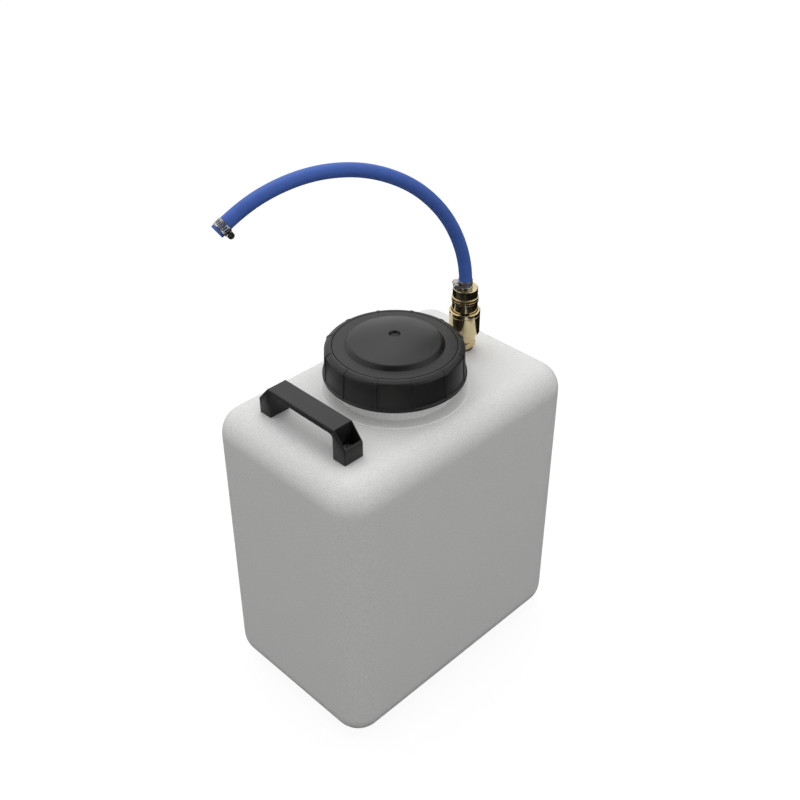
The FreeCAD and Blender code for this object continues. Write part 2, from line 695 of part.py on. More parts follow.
long_edges = edges_where(
    throats,
    lambda edge: edge.BoundBox.XLength < 0.01
    and abs(abs(edge.BoundBox.XMax) - length("handle_width / 2")) < 0.01
    and edge.BoundBox.ZMax > length("handle_side_height") - 0.01
    and (
        abs(edge.CenterOfMass.y) > length("handle_length / 2") - 0.1
        or edge.CenterOfMass.z > length("handle_height") - 0.1
        or abs(abs(edge.CenterOfMass.y) - length("(handle_length + handle_top_length) / 4")) < 0.1
    ),
)
softened = add_fillet(handle, "handle_softened", throats, long_edges, "handle_edge_radius")
pocket_sketch = new_sketch(handle, "screw_pocket_outline", "XY_Plane", "handle_height")
draw_outline(
    pocket_sketch,
    box_outline("handle_width - 2 * handle_rim", "handle_leg - 2 * handle_rim", "0", "screw_y"),
)
pocket = add_pocket(handle, "screw_pocket", pocket_sketch, "handle_height - handle_floor")
hole_sketch = new_sketch(handle, "screw_hole_outline", "XY_Plane", "handle_height")
draw_circle(hole_sketch, "0", "screw_y", "screw_radius + screw_gap")
hole = add_pocket(handle, "screw_hole", hole_sketch, "handle_height")
mirrored = handle.newObject("PartDesign::Mirrored", "other_end")
mirrored.Originals = [pocket, hole]
mirrored.MirrorPlane = (datum(handle, "XZ_Plane"), [""])
handle.Tip = mirrored
stand(handle, "handle_x", height="tank_height")
node(handle, "handle_grip")


def pair(name, body):
    """A body at both ends of the handle, as one node."""
    stand(body, "handle_x", "screw_y")
    twin = doc.addObject("Part::Mirroring", name + "_twin")
    twin.Source = body
    twin.Normal = FreeCAD.Vector(0, 1, 0)
    node(grouped(name + "_pair", [body, twin]), name)


screw = new_body("screw_body")
seat = "(tank_height + handle_floor + washer_thickness)"
add_turn(
    screw,
    "screw_turn",
    [
        ("0", f"{seat} - screw_length"),
        ("screw_radius - 0.6", f"{seat} - screw_length"),
        ("screw_radius", f"{seat} - screw_length + 0.8"),
        ("screw_radius", seat),
        ("screw_head_radius", seat),
        ("screw_head_radius", f"{seat} + screw_head_height - 0.4"),
        ("screw_head_radius - 0.4", f"{seat} + screw_head_height"),
        ("0", f"{seat} + screw_head_height"),
    ],
)
key_sketch = new_sketch(screw, "key_outline", "XY_Plane", f"{seat} + screw_head_height")
draw_hexagon(key_sketch, "screw_key")
screw.Tip = add_pocket(screw, "key_socket", key_sketch, "screw_key_depth")
pair("handle_screws", screw)

washer = new_body("washer_body")
add_turn(
    washer,
    "washer_turn",
    [
        ("screw_radius + screw_gap", "tank_height + handle_floor"),
        ("washer_radius", "tank_height + handle_floor"),
        ("washer_radius", seat),
        ("screw_radius + screw_gap", seat),
    ],
)
pair("handle_washers", washer)

insert = new_body("insert_body")
add_turn(
    insert,
    "insert_turn",
    [
        ("0", "tank_height - insert_depth"),
        ("insert_radius", "tank_height - insert_depth"),
        ("insert_radius", "tank_height"),
        ("screw_radius + thread_fit", "tank_height"),
        ("screw_radius + thread_fit", f"{seat} - screw_length - 0.6"),
        ("0", f"{seat} - screw_length - 0.6"),
    ],
)
pair("handle_inserts", insert)

# Outlet: a nipple through the top face, sealed and locked from inside
nipple = new_body("nipple_body")
nipple_turn = add_turn(
    nipple,
    "nipple_outside",
    [
        ("nipple_bore", "dip_barb_end"),
        ("dip_tube_bore - barb_step", "dip_barb_end"),
        ("dip_tube_bore", "dip_barb_end + 2.5"),
        ("dip_tube_bore - barb_step", "dip_barb_end + 2.5"),
        ("dip_tube_bore", "dip_barb_end + 5"),
        ("dip_tube_bore - barb_step", "dip_barb_end + 5"),
        ("dip_tube_bore - barb_step", "shank_end"),
        ("shank_radius", "shank_end"),
        ("shank_radius", "foot_low"),
        ("foot_rim_radius", "foot_low"),
        ("foot_flats / 2", "foot_low + foot_bevel"),
        ("waist_radius", "foot_low + foot_bevel"),
        ("waist_radius", "flare_low"),
        ("flare_low_radius", "flare_low"),
        ("flare_high_radius", "flare_top - 1"),
        ("flare_high_radius - 0.7", "flare_top"),
        ("plug_radius", "flare_top"),
        ("plug_radius", "plug_top - 0.8"),
        ("plug_radius - 0.8", "plug_top"),
        ("plug_tip_radius", "plug_top"),
        ("plug_tip_radius", "tip_top - 0.6"),
        ("plug_tip_radius - 0.6", "tip_top"),
        ("nipple_bore", "tip_top"),
    ],
)
foot_sketch = new_sketch(nipple, "foot_hexagon", "XY_Plane", "foot_low + foot_bevel")
draw_hexagon(foot_sketch, "foot_flats")
draw_circle(foot_sketch, "0", "0", "waist_radius - 1")
foot = add_pad(nipple, "foot_pad", foot_sketch, "foot_height - foot_bevel")
groove_sketch = new_sketch(nipple, "ball_groove_outline", "XZ_Plane")
draw_circle(groove_sketch, "ball_circle + ball_play / 2", "ball_level", "ball_radius + ball_play")
groove = nipple.newObject("PartDesign::Groove", "ball_groove")
groove.Profile = groove_sketch
groove.ReferenceAxis = (groove_sketch, ["V_Axis"])
groove.Angle = 360
nipple.Tip = groove
stand(nipple, "outlet_x")
node(nipple, "outlet_nipple")


def turned_node(name, corners, across="outlet_x"):
    """A plain turned sub-part on the outlet's axis."""
    body = new_body(name + "_body")
    add_turn(body, name + "_turn", corners)
    stand(body, across)
    return body


def flat_ring(name, bore, radius, low, high):
    return turned_node(name, [(bore, low), (radius, low), (radius, high), (bore, high)])


shank_hole = "shank_radius + thread_fit"
node(
    flat_ring("outer_washer", shank_hole, "outlet_washer_radius", "tank_height", "foot_low"),
    "outlet_washer",
)
node(
    flat_ring("inner_washer", shank_hole, "outlet_washer_radius", "nut_top", "inner_top"),
    "backnut_washer",
)

backnut = new_body("backnut_body")
nut_sketch = new_sketch(backnut, "nut_hexagon", "XY_Plane", "nut_top - nut_height")
draw_hexagon(nut_sketch, "nut_flats")
draw_circle(nut_sketch, "0", "0", shank_hole)
add_pad(backnut, "nut_pad", nut_sketch, "nut_height")
stand(backnut, "outlet_x")
node(backnut, "outlet_backnut")

tube_low = "strainer_top - 8"
node(
    flat_ring("tube", "dip_tube_bore", "dip_tube_radius", tube_low, "shank_end - 1"),
    "dip_tube",
)

strainer = turned_node(
    "strainer",
    [
        ("0", "strainer_low"),
        ("strainer_radius", "strainer_low"),
        ("strainer_radius", "strainer_top - 10"),
        ("dip_tube_radius + strainer_wall", "strainer_top - 6"),
        ("dip_tube_radius + strainer_wall", "strainer_top"),
        ("dip_tube_radius + thread_fit", "strainer_top"),
        ("dip_tube_radius + thread_fit", tube_low),
        ("dip_tube_bore", tube_low),
        ("dip_tube_bore", "strainer_top - 10 - strainer_wall"),
        ("strainer_radius - strainer_wall", "strainer_top - 10 - 2 * strainer_wall"),
        ("strainer_radius - strainer_wall", "strainer_low + strainer_wall"),
        ("0", "strainer_low + strainer_wall"),
    ],
)
slot_sketch = new_sketch(strainer, "strainer_slot_outline", "XZ_Plane")
slot_low = "(strainer_low + strainer_wall)"
draw_outline(
    slot_sketch,
    [
        ("-strainer_slot_width / 2", slot_low),
        ("strainer_slot_width / 2", slot_low),
        ("strainer_slot_width / 2", f"{slot_low} + strainer_slot_height * 0.8"),
        ("-strainer_slot_width / 2", f"{slot_low} + strainer_slot_height * 0.8"),
    ],
)
slot = add_pocket(strainer, "strainer_slot", slot_sketch, "strainer_radius + 2", reverse=True)
add_polar(strainer, "strainer_slot_ring", slot, "strainer_slots")
node(strainer, "foot_strainer")

# Coupler: body, release sleeve with its spring and snap ring, locking balls, seal and valve
coupler = new_body("coupler_core")
plug_hole = "plug_radius + running_gap"
tip_hole = "plug_tip_radius + 2 * running_gap"
seal_outer = "plug_tip_radius + 0.05 + 2 * seal_section"
add_turn(
    coupler,
    "coupler_outside",
    [
        (plug_hole, "mouth"),
        ("barrel_radius", "mouth"),
        ("barrel_radius", "stop_low"),
        ("barrel_radius - stop_ring_depth", "stop_low"),
        ("barrel_radius - stop_ring_depth", "stop_top"),
        ("barrel_radius", "stop_top"),
        ("barrel_radius", "spring_seat"),
        ("neck_band_radius", "spring_seat"),
        ("neck_band_radius", "knurl_foot"),
        ("knurl_radius", "knurl_foot + 0.4"),
        ("knurl_radius", "knurl_foot + knurl_height / 2 - 0.4"),
        ("knurl_radius - 0.6", "knurl_foot + knurl_height / 2"),
        ("knurl_radius", "knurl_foot + knurl_height / 2 + 0.4"),
        ("knurl_radius", "knurl_top - 0.4"),
        ("tail_collar_radius", "knurl_top"),
        ("tail_collar_radius", "body_top"),
        ("tail_stub_radius + thread_fit", "body_top"),
        ("tail_stub_radius + thread_fit", "chamber_end"),
        ("chamber_radius", "chamber_end"),
        ("chamber_radius", "valve_seat + 1.2"),
        (tip_hole, "valve_seat"),
        (tip_hole, "seal_level + seal_section"),
        (seal_outer, "seal_level + seal_section"),
        (seal_outer, "seal_level - seal_section"),
        (tip_hole, "seal_level - seal_section"),
        (tip_hole, "plug_top + running_gap"),
        (plug_hole, "plug_top + running_gap"),
    ],
)
ball_sketch = new_sketch(coupler, "ball_hole_outline", "YZ_Plane")
draw_circle(ball_sketch, "0", "ball_level", "ball_radius + ball_hole_play")
ball_hole = add_pocket(coupler, "ball_hole", ball_sketch, "barrel_radius + 2", reverse=True)
add_polar(coupler, "ball_holes", ball_hole, "ball_count")
stand(coupler, "outlet_x")
node(coupler, "coupler_body")

sleeve = turned_node(
    "sleeve",
    [
        ("sleeve_recess_radius", "flare_top"),
        ("sleeve_radius - sleeve_chamfer", "flare_top"),
        ("sleeve_radius", "flare_top + sleeve_chamfer"),
        ("sleeve_radius", "sleeve_top - 4.6"),
        ("sleeve_radius - sleeve_mark_depth", "sleeve_top - 4.6"),
        ("sleeve_radius - sleeve_mark_depth", "sleeve_top - 4.6 + sleeve_mark_height"),
        ("sleeve_radius", "sleeve_top - 4.6 + sleeve_mark_height"),
        ("sleeve_radius", "sleeve_top - sleeve_chamfer / 2"),
        ("sleeve_radius - sleeve_chamfer / 2", "sleeve_top"),
        ("spring_chamber_radius", "sleeve_top"),
        ("spring_chamber_radius", "lip_top"),
        ("barrel_radius + sleeve_fit", "lip_top"),
        ("barrel_radius + sleeve_fit", "lip_low"),
        ("sleeve_recess_radius", "lip_low"),
    ],
)
node(sleeve, "coupler_sleeve")

node(
    flat_ring(
        "stop_ring", "barrel_radius - stop_ring_depth", "stop_ring_radius", "stop_low", "stop_top"
    ),
    "sleeve_stop_ring",
)


def coil_spring(name, coil, wire, turns, low, high):
    """A round-wire spring between two levels on the outlet's axis."""
    lift = high - low - 2 * wire
    helix = Part.makeHelix(lift / turns, lift, coil)
    start = FreeCAD.Vector(coil, 0, 0)
    section = Part.Wire([Part.makeCircle(wire, start, FreeCAD.Vector(0, 1, 0))])
    thing = doc.addObject("Part::Feature", name)
    thing.Shape = Part.Wire(helix.Edges).makePipeShell([section], True, True)
    thing.Placement.Base = FreeCAD.Vector(length("outlet_x"), 0, low + wire)
    return thing


node(
    coil_spring(
        "sleeve_coil",
        length("spring_coil"),
        length("spring_wire"),
        length("spring_turns"),
        length("lip_top"),
        length("spring_seat"),
    ),
    "sleeve_spring",
)

balls = []
for number in range(int(length("ball_count"))):
    ball = doc.addObject("Part::Sphere", "ball")
    ball.setExpression("Radius", bound("ball_radius"))
    angle = f"({number} * 360 / ball_count)"
    stand(ball, f"outlet_x + ball_circle * cos({angle})", f"ball_circle * sin({angle})", "ball_level")
    balls.append(ball)
node(grouped("ball_circle_group", balls), "locking_balls")

seal = doc.addObject("Part::Torus", "seal_ring")
seal.setExpression("Radius1", bound("plug_tip_radius + 0.05 + seal_section"))
seal.setExpression("Radius2", bound("seal_section"))
stand(seal, "outlet_x", height="seal_level")
node(seal, "plug_seal")

valve = new_body("valve_body")
add_turn(
    valve,
    "valve_turn",
    [
        ("0", "tip_top"),
        ("valve_nose_radius", "tip_top"),
        ("valve_nose_radius", "valve_foot - 0.6"),
        ("valve_radius - 0.8", "valve_foot"),
        ("valve_radius", "valve_foot + 0.8"),
        ("valve_radius", "valve_top"),
        ("0", "valve_top"),
    ],
)
cross_sketch = new_sketch(valve, "nose_slot_outline", "XY_Plane", "tip_top")
draw_outline(cross_sketch, box_outline("4 * valve_nose_radius", "valve_slot"))
cross = add_pocket(valve, "nose_slot", cross_sketch, "valve_nose_length - 0.6", reverse=True)
add_polar(valve, "nose_slots", cross, "2 * 2")
stand(valve, "outlet_x")
node(valve, "valve_poppet")

stub_low = "(chamber_end + running_gap)"
node(
    coil_spring(
        "valve_coil",
        length("valve_spring_coil"),
        length("valve_spring_wire"),
        length("valve_spring_turns"),
        length("valve_top"),
        length(f"{stub_low} + tail_pocket_depth"),
    ),
    "valve_spring",
)

teeth = int(length("tail_barb_teeth"))
tooth = "tail_barb_length / tail_barb_teeth"
barb = [("hose_bore", "collar_top")]
for number in range(teeth):
    level = f"collar_top + {number} * {tooth}"
    barb.append(("hose_bore - barb_step", f"{level} + {tooth} * 0.25"))
    barb.append(("hose_bore + barb_step / 2", f"{level} + {tooth} * 0.3"))
    barb.append(("hose_bore - barb_step", f"{level} + {tooth}"))
tail = turned_node(
    "tail",
    [
        ("tail_pocket_radius", stub_low),
        ("tail_stub_radius", stub_low),
        ("tail_stub_radius", "collar_low"),
        ("tail_collar_radius", "collar_low"),
        ("tail_collar_radius", "collar_top - 0.4"),
        ("tail_collar_radius - 0.4", "collar_top"),
    ]
    + barb
    + [
        ("tail_bore", "collar_top + tail_barb_length"),
        ("tail_bore", f"{stub_low} + tail_pocket_depth"),
        ("tail_pocket_radius", f"{stub_low} + tail_pocket_depth"),
    ],
)
node(tail, "hose_tail")

# Hose: it stands up out of the barb and arcs over the lid in one upright plane.
# Points of its route, as reach from the outlet's axis and height above the hose tail's collar.
HOSE_ROUTE = [
    (0.0, 0.0),
    (0.0, 18.5),
    (10.0, 53.2),
    (29.2, 85.9),
    (58.9, 115.2),
    (98.8, 136.4),
    (139.6, 144.6),
    (177.0, 141.8),
    (212.0, 129.8),
    (232.8, 115.1),
]


def hose_points():
    """The route in the part's own frame."""
    along = math.radians(length("hose_azimuth"))
    foot_x, foot_z = length("outlet_x"), length("collar_top")
    return [
        FreeCAD.Vector(foot_x + reach * math.cos(along), reach * math.sin(along), foot_z + rise)
        for reach, rise in HOSE_ROUTE
    ]


def rounded_route(points):
    """Straight runs joined by tangent arcs, each as large as its two runs allow."""
    edges, here = [], points[0]
    for before, corner, after in zip(points, points[1:], points[2:]):
        back, ahead = before - corner, after - corner
        reach = 0.45 * min(back.Length, ahead.Length)
        back.normalize()
        ahead.normalize()
        turn = math.pi - back.getAngle(ahead)
        radius = reach / math.tan(turn / 2)
        print(f"hose bend {math.degrees(turn):.1f} degrees, radius {radius:.1f} mm")
        start, end = corner + back * reach, corner + ahead * reach
        inward = back + ahead
        inward.normalize()
        middle = corner + inward * (math.hypot(radius, reach) - radius)
        edges.append(Part.LineSegment(here, start).toShape())
        edges.append(Part.Arc(start, middle, end).toShape())
        here = end
    edges.append(Part.LineSegment(here, points[-1]).toShape())
    return Part.Wire(edges)


def hose_solid():
    """The bored hose along its rounded route."""
    points = hose_points()
    path = rounded_route(points)
    heading = points[1] - points[0]
    rims = [
        Part.Wire([Part.makeCircle(length(radius), points[0], heading)])
        for radius in ("hose_radius", "hose_bore")
    ]
    outside, bore = [path.makePipeShell([rim], True, True) for rim in rims]
    solid = outside.cut(bore)
    section = math.pi * (length("hose_radius") ** 2 - length("hose_bore") ** 2)
    print(f"hose length {path.Length:.1f} mm, volume ratio {solid.Volume / (section * path.Length):.4f}")
    return solid


hose = doc.addObject("Part::Feature", "hose_tube")
hose.Shape = hose_solid()
node(hose, "water_hose")


# Worm-drive clamps, each modelled round its own upright axis with the worm's housing on +X
def clamp_band(name):
    """Stainless band with a ring of slots that the worm drives."""
    body = new_body(name)
    add_turn(
        body,
        name + "_turn",
        [
            ("band_bore", "-band_width / 2"),
            ("band_radius", "-band_width / 2"),
            ("band_radius", "band_width / 2"),
            ("band_bore", "band_width / 2"),
        ],
    )
    sketch = new_sketch(body, name + "_slot_outline", "YZ_Plane")
    draw_outline(sketch, box_outline("band_slot_width", "band_slot_length"))
    slot = add_pocket(body, name + "_slot", sketch, "band_radius + 1", reverse=True)
    add_polar(body, name + "_slots", slot, "band_slots")
    return body


def clamp_housing(name):
    """Saddle bent over the worm, with its feet on the band."""
    body = new_body(name)
    sketch = new_sketch(body, name + "_outline", "XZ_Plane")
    top = "worm_x + worm_radius + worm_play + housing_wall"
    draw_outline(
        sketch,
        [
            ("band_radius + 0.02", "-housing_width / 2"),
            ("worm_x + 1", "-housing_width / 2"),
            (top, "-housing_width / 4"),
            (top, "housing_width / 4"),
            ("worm_x + 1", "housing_width / 2"),
            ("band_radius + 0.02", "housing_width / 2"),
        ],
    )
    add_pad(body, name + "_saddle", sketch, "housing_length", both_ways=True)
    bore = new_sketch(body, name + "_bore_outline", "XZ_Plane")
    draw_circle(bore, "worm_x", "0", "worm_radius + worm_play")
    body.Tip = add_pocket(body, name + "_bore", bore, "housing_length + 2", both_ways=True)
    return body


def clamp_worm(name):
    """Worm screw with a slotted hexagon head; it lies along Y beside the band."""
    body = new_body(name)
    half = "worm_length / 2"
    outline = [("0", f"-{half}"), ("worm_radius", f"-{half}")]
    step = "worm_length / (worm_groove_count + 1)"
    for number in range(1, int(length("worm_groove_count")) + 1):
        level = f"-{half} + {number} * {step}"
        outline.append(("worm_radius", f"{level} - {step} * 0.25"))
        outline.append(("worm_radius - worm_groove", f"{level} - {step} * 0.1"))
        outline.append(("worm_radius - worm_groove", f"{level} + {step} * 0.1"))
        outline.append(("worm_radius", f"{level} + {step} * 0.25"))
    outline += [("worm_radius", half), ("worm_radius + worm_collar", half)]
    outline += [("worm_radius + worm_collar", f"{half} + worm_collar"), ("0", f"{half} + worm_collar")]
    add_turn(body, name + "_turn", outline)
    head = new_sketch(body, name + "_head_outline", "XY_Plane", f"{half} + worm_collar")
    draw_hexagon(head, "worm_head_flats")
    add_pad(body, name + "_head", head, "worm_head_height")
    head_top = f"{half} + worm_collar + worm_head_height"
    driver = new_sketch(body, name + "_driver_outline", "XY_Plane", head_top)
    draw_outline(driver, box_outline("2 * worm_head_flats", "worm_slot_width"))
    body.Tip = add_pocket(body, name + "_driver", driver, "worm_head_height / 2")
    return body


def place_clamp(prefix, centre, along, azimuth):
    """Seats one clamp: its axis along the hose, its housing turned by an angle about the hose."""
    z_axis = FreeCAD.Vector(0, 0, 1)
    lean = FreeCAD.Rotation(z_axis, along)
    whole = FreeCAD.Placement(centre, lean.multiply(FreeCAD.Rotation(z_axis, azimuth)))
    band = clamp_band(prefix + "_ring")
    housing = clamp_housing(prefix + "_saddle")
    worm = clamp_worm(prefix + "_worm")
    lie = FreeCAD.Rotation(FreeCAD.Vector(1, 0, 0), -90)
    beside = FreeCAD.Placement(FreeCAD.Vector(length("worm_x"), 0, 0), lie)
    band.Placement = whole
    housing.Placement = whole
    worm.Placement = whole.multiply(beside)
    node(band, prefix + "_band")
    node(housing, prefix + "_housing")
    node(worm, prefix + "_screw")


points = hose_points()
up = FreeCAD.Vector(0, 0, 1)
half_band = length("band_width") / 2
place_clamp(
    "lower_clamp",
    points[0] + up * (length("low_clamp_lift") + half_band),
    up,
    length("low_clamp_turn"),
)
last_run = points[-1] - points[-2]
last_run.normalize()
place_clamp(
    "end_clamp",
    points[-1] - last_run * (length("end_clamp_inset") + half_band),
    -last_run,
    length("end_clamp_turn"),
)

# Check the document, then write one file for each sub-part
doc.recompute()
for thing in doc.Objects:
    if "Invalid" in thing.State or "Error" in thing.State:
        raise RuntimeError(f"{thing.Name} failed: {thing.State}")
for thing in NODES:
    if thing.Shape.isNull() or not thing.Shape.isValid() or thing.Shape.Volume <= 0:
        raise RuntimeError(f"{thing.Label} has no valid shape")
os.makedirs("parts", exist_ok=True)
for thing in NODES:
    thing.Shape.exportStep(f"parts/{thing.Label}.step")
    box = thing.Shape.BoundBox
    print(
        f"{thing.Label:18s} solids {len(thing.Shape.Solids)}  volume {thing.Shape.Volume:10.1f}"
        f"  z {box.ZMin:7.2f} to {box.ZMax:7.2f}"
    )
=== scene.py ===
# %% [markdown]
# # A portable water tank, dressed in Blender
# The object is a small canister of white polyethylene with a black screw lid, a bridge handle and a
# brass quick coupling that carries a short blue hose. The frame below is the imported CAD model: every
# piece made here sits where the frame says and moves with one of its bodies.

import json
import math

import bmesh
import bpy
import numpy as np
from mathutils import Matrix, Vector

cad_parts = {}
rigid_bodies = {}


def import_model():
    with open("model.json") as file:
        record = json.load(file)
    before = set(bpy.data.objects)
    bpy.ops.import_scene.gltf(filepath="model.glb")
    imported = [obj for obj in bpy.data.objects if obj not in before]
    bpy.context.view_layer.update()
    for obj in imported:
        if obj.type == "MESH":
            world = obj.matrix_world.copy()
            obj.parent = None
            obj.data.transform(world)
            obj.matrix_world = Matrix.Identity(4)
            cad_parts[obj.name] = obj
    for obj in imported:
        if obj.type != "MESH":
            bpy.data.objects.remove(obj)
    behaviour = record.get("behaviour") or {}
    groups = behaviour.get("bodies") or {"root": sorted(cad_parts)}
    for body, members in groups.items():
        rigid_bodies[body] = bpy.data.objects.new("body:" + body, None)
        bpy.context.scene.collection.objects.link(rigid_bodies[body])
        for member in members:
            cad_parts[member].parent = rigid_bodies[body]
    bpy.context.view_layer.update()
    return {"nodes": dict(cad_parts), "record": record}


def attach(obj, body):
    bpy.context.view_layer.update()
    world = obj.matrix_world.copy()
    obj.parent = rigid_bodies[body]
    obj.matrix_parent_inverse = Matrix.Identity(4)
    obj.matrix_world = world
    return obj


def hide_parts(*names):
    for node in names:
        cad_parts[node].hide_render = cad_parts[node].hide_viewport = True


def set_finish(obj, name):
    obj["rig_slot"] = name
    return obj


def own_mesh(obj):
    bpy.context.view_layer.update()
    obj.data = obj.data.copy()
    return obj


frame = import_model()
MM = 0.001

# %% [markdown]
# ## Camera
# The photograph looks down at a corner of the tank, at equal parts of X, Y and Z. A lens of 50 mm on
# a 36 mm sensor with no shift gives the same lines, so the camera stands at the place that makes the
# tank's corners, the lid and the coupling fall where they are in the photograph.

# %% Place the camera
CAMERA_PLACE = (-0.57762, -0.58419, 0.86469)
CAMERA_HEADING = (0.57735, 0.57735, -0.57735)
LENS_LENGTH, SENSOR_WIDTH = 50.0, 36.0
lens = bpy.data.cameras.new("camera")
lens.lens = LENS_LENGTH
lens.sensor_width = SENSOR_WIDTH
camera = bpy.data.objects.new("camera", lens)
bpy.context.collection.objects.link(camera)
camera.location = CAMERA_PLACE
camera.rotation_euler = Vector(CAMERA_HEADING).to_track_quat("-Z", "Y").to_euler()
bpy.context.scene.camera = camera
print("camera at", CAMERA_PLACE, "heading", CAMERA_HEADING)

# %% [markdown]
# ## Surfaces on a grid
# Turned, moulded and bent pieces are all the same thing to a computer: a grid of points that is
# closed round one way, and often both ways. The points are worked out as whole arrays, and one
# helper makes any such grid a mesh, so a piece is only ever a formula. Weighted normals keep broad
# faces flat beside small roundings, as on a real turned or moulded part.

# %% Make a mesh from a grid of points
SHARP_ANGLE = 40


def surface(name, points, around=True, along=False, keep=None, poles=False):
    """Each cell of a (rows, columns, 3) grid is a face. Columns close up with around, rows with
    along, cells where keep is False stay open, and poles closes both end rows with one vertex."""
    rows, columns = points.shape[:2]
    here = np.arange(rows * columns).reshape(rows, columns)
    up, right = np.roll(here, -1, axis=0), np.roll(here, -1, axis=1)
    cells = np.stack([here, right, np.roll(up, -1, axis=1), up], axis=-1)
    chosen = np.ones((rows, columns), bool) if keep is None else keep
    cells, chosen = (cells, chosen) if along else (cells[:-1], chosen[:-1])
    cells, chosen = (cells, chosen) if around else (cells[:, :-1], chosen[:, :-1])
    faces = cells[chosen].tolist()
    vertices = points.reshape(-1, 3)
    if poles:
        ends = points[[0, -1]].mean(axis=1)
        first, last = len(vertices), len(vertices) + 1
        faces += [[first, b, a] for a, b in zip(here[0].tolist(), right[0].tolist())]
        faces += [[last, a, b] for a, b in zip(here[-1].tolist(), right[-1].tolist())]
        vertices = np.concatenate([vertices, ends])
    mesh = bpy.data.meshes.new(name)
    mesh.from_pydata(vertices.tolist(), [], faces)
    mesh.polygons.foreach_set("use_smooth", np.ones(len(mesh.polygons), bool))
    mesh.set_sharp_from_angle(angle=math.radians(SHARP_ANGLE))
    piece = bpy.data.objects.new(name, mesh)
    bpy.context.collection.objects.link(piece)
    print(name, len(mesh.polygons), "faces")
    return piece


def even_normals(piece):
    """Lets large faces decide the shading at the edges they share with small ones."""
    weighted = piece.modifiers.new("even_normals", "WEIGHTED_NORMAL")
    weighted.keep_sharp = True
    weighted.weight = 80
    return piece


print("edges past", SHARP_ANGLE, "degrees stay sharp")

# %% Round the corners of an outline
def softened(corners, cut, closed=True, steps=6):
    """Each corner C becomes the curve (1-t)^2 A + 2t(1-t) C + t^2 B, where A and B lie on its two
    sides, cut away from it or 0.4 of the side where that is less."""
    corner = np.asarray(corners, float)
    before, after = np.roll(corner, 1, axis=0), np.roll(corner, -1, axis=0)
    cuts = np.broadcast_to(np.asarray(cut, float), (len(corner),))[:, None]

    def on_side(other):
        run = other - corner
        size = np.linalg.norm(run, axis=1, keepdims=True)
        return corner + run * np.minimum(cuts / size, 0.4)

    t = np.linspace(0, 1, steps)[None, :, None]
    a, b, c = on_side(before)[:, None], on_side(after)[:, None], corner[:, None]
    curve = (1 - t) ** 2 * a + 2 * t * (1 - t) * c + t**2 * b
    if closed:
        return curve.reshape(-1, 2)
    middle = curve[1:-1].reshape(-1, 2)
    return np.concatenate([corner[:1], middle, corner[-1:]])


print("a softened square has", len(softened([(0, 0), (1, 0), (1, 1), (0, 1)], 0.2)), "points")

# %% Turn an outline round an upright axis
TURNED_SIDES = 144


def turned(name, outline, centre_x=0.0, sides=TURNED_SIDES, closed=True):
    """Points (r, z) in millimetres become (cx + r cos a, r sin a, z) for angles a all round."""
    angle = np.linspace(0, 2 * math.pi, sides, endpoint=False)
    r, z = outline[:, :1] * MM, outline[:, 1:] * MM
    x, y = centre_x + r * np.cos(angle), r * np.sin(angle)
    grid = np.stack([x, y, np.broadcast_to(z, x.shape)], axis=-1)
    return even_normals(surface(name, grid, along=closed, poles=not closed))


print("a turned piece has", TURNED_SIDES, "sides")

# %% [markdown]
# ## The hose
# The hose is a fixed length of 8 x 12 mm drinking-water hose. It stands up out of its barb and arcs
# over the lid, stiff enough to carry itself. A NURBS spline led by the route gives a smooth line,
# and the tube's rings are set on points read from it. Its wall is one closed surface: out along the
# outside, across the cut end, and back along the bore. Under each clamp the wall is pressed in.

# %% Read the hose's smooth line
OUTLET_X = 0.091
HOSE_FOOT = 0.3647
HOSE_PLANE = math.radians(166.0)
HOSE_ROUTE = np.array(
    [
        (0.0, 0.0),
        (0.0, 18.5),
        (10.0, 53.2),
        (29.2, 85.9),
        (58.9, 115.2),
        (98.8, 136.4),
        (139.6, 144.6),
        (177.0, 141.8),
        (212.0, 129.8),
        (232.8, 115.1),
    ]
)


def smooth_line(name, points):
    """Points along the NURBS spline of order 3 that has the given points as its control points."""
    curve = bpy.data.curves.new(name, "CURVE")
    curve.dimensions = "3D"
    curve.resolution_u = 24
    spline = curve.splines.new("NURBS")
    spline.points.add(len(points) - 1)
    weighted = np.concatenate([points, np.ones((len(points), 1))], axis=1)
    spline.points.foreach_set("co", weighted.ravel())
    spline.order_u = 3
    spline.use_endpoint_u = True
    holder = bpy.data.objects.new(name, curve)
    bpy.context.collection.objects.link(holder)
    bpy.context.view_layer.update()
    line = bpy.data.meshes.new_from_object(holder)
    found = np.zeros(len(line.vertices) * 3)
    line.vertices.foreach_get("co", found)
    bpy.data.objects.remove(holder)
    return found.reshape(-1, 3)


reach, rise = HOSE_ROUTE[:, 0] * MM, HOSE_ROUTE[:, 1] * MM
route = np.stack(
    [OUTLET_X + reach * math.cos(HOSE_PLANE), reach * math.sin(HOSE_PLANE), HOSE_FOOT + rise], axis=1
)
hose_line = smooth_line("hose_route", route)
steps_along = np.linalg.norm(np.diff(hose_line, axis=0), axis=1)
hose_reach = np.concatenate([[0.0], np.cumsum(steps_along)])
hose_length = float(hose_reach[-1])
print("hose length", round(hose_length, 4), "from", len(hose_line), "points")

# %% Places along the hose
HOSE_RADIUS, HOSE_BORE = 6.0 * MM, 4.0 * MM
BAND_WIDTH = 7.0 * MM
LOW_BAND_MIDDLE = 0.3 * MM + BAND_WIDTH / 2
END_BAND_MIDDLE = hose_length - 2.5 * MM - BAND_WIDTH / 2
HOSE_SIDE = np.array([-math.sin(HOSE_PLANE), math.cos(HOSE_PLANE), 0.0])


def on_line(distance):
    """Points of the hose's line at these distances along it."""
    return np.stack([np.interp(distance, hose_reach, hose_line[:, i]) for i in range(3)], -1)


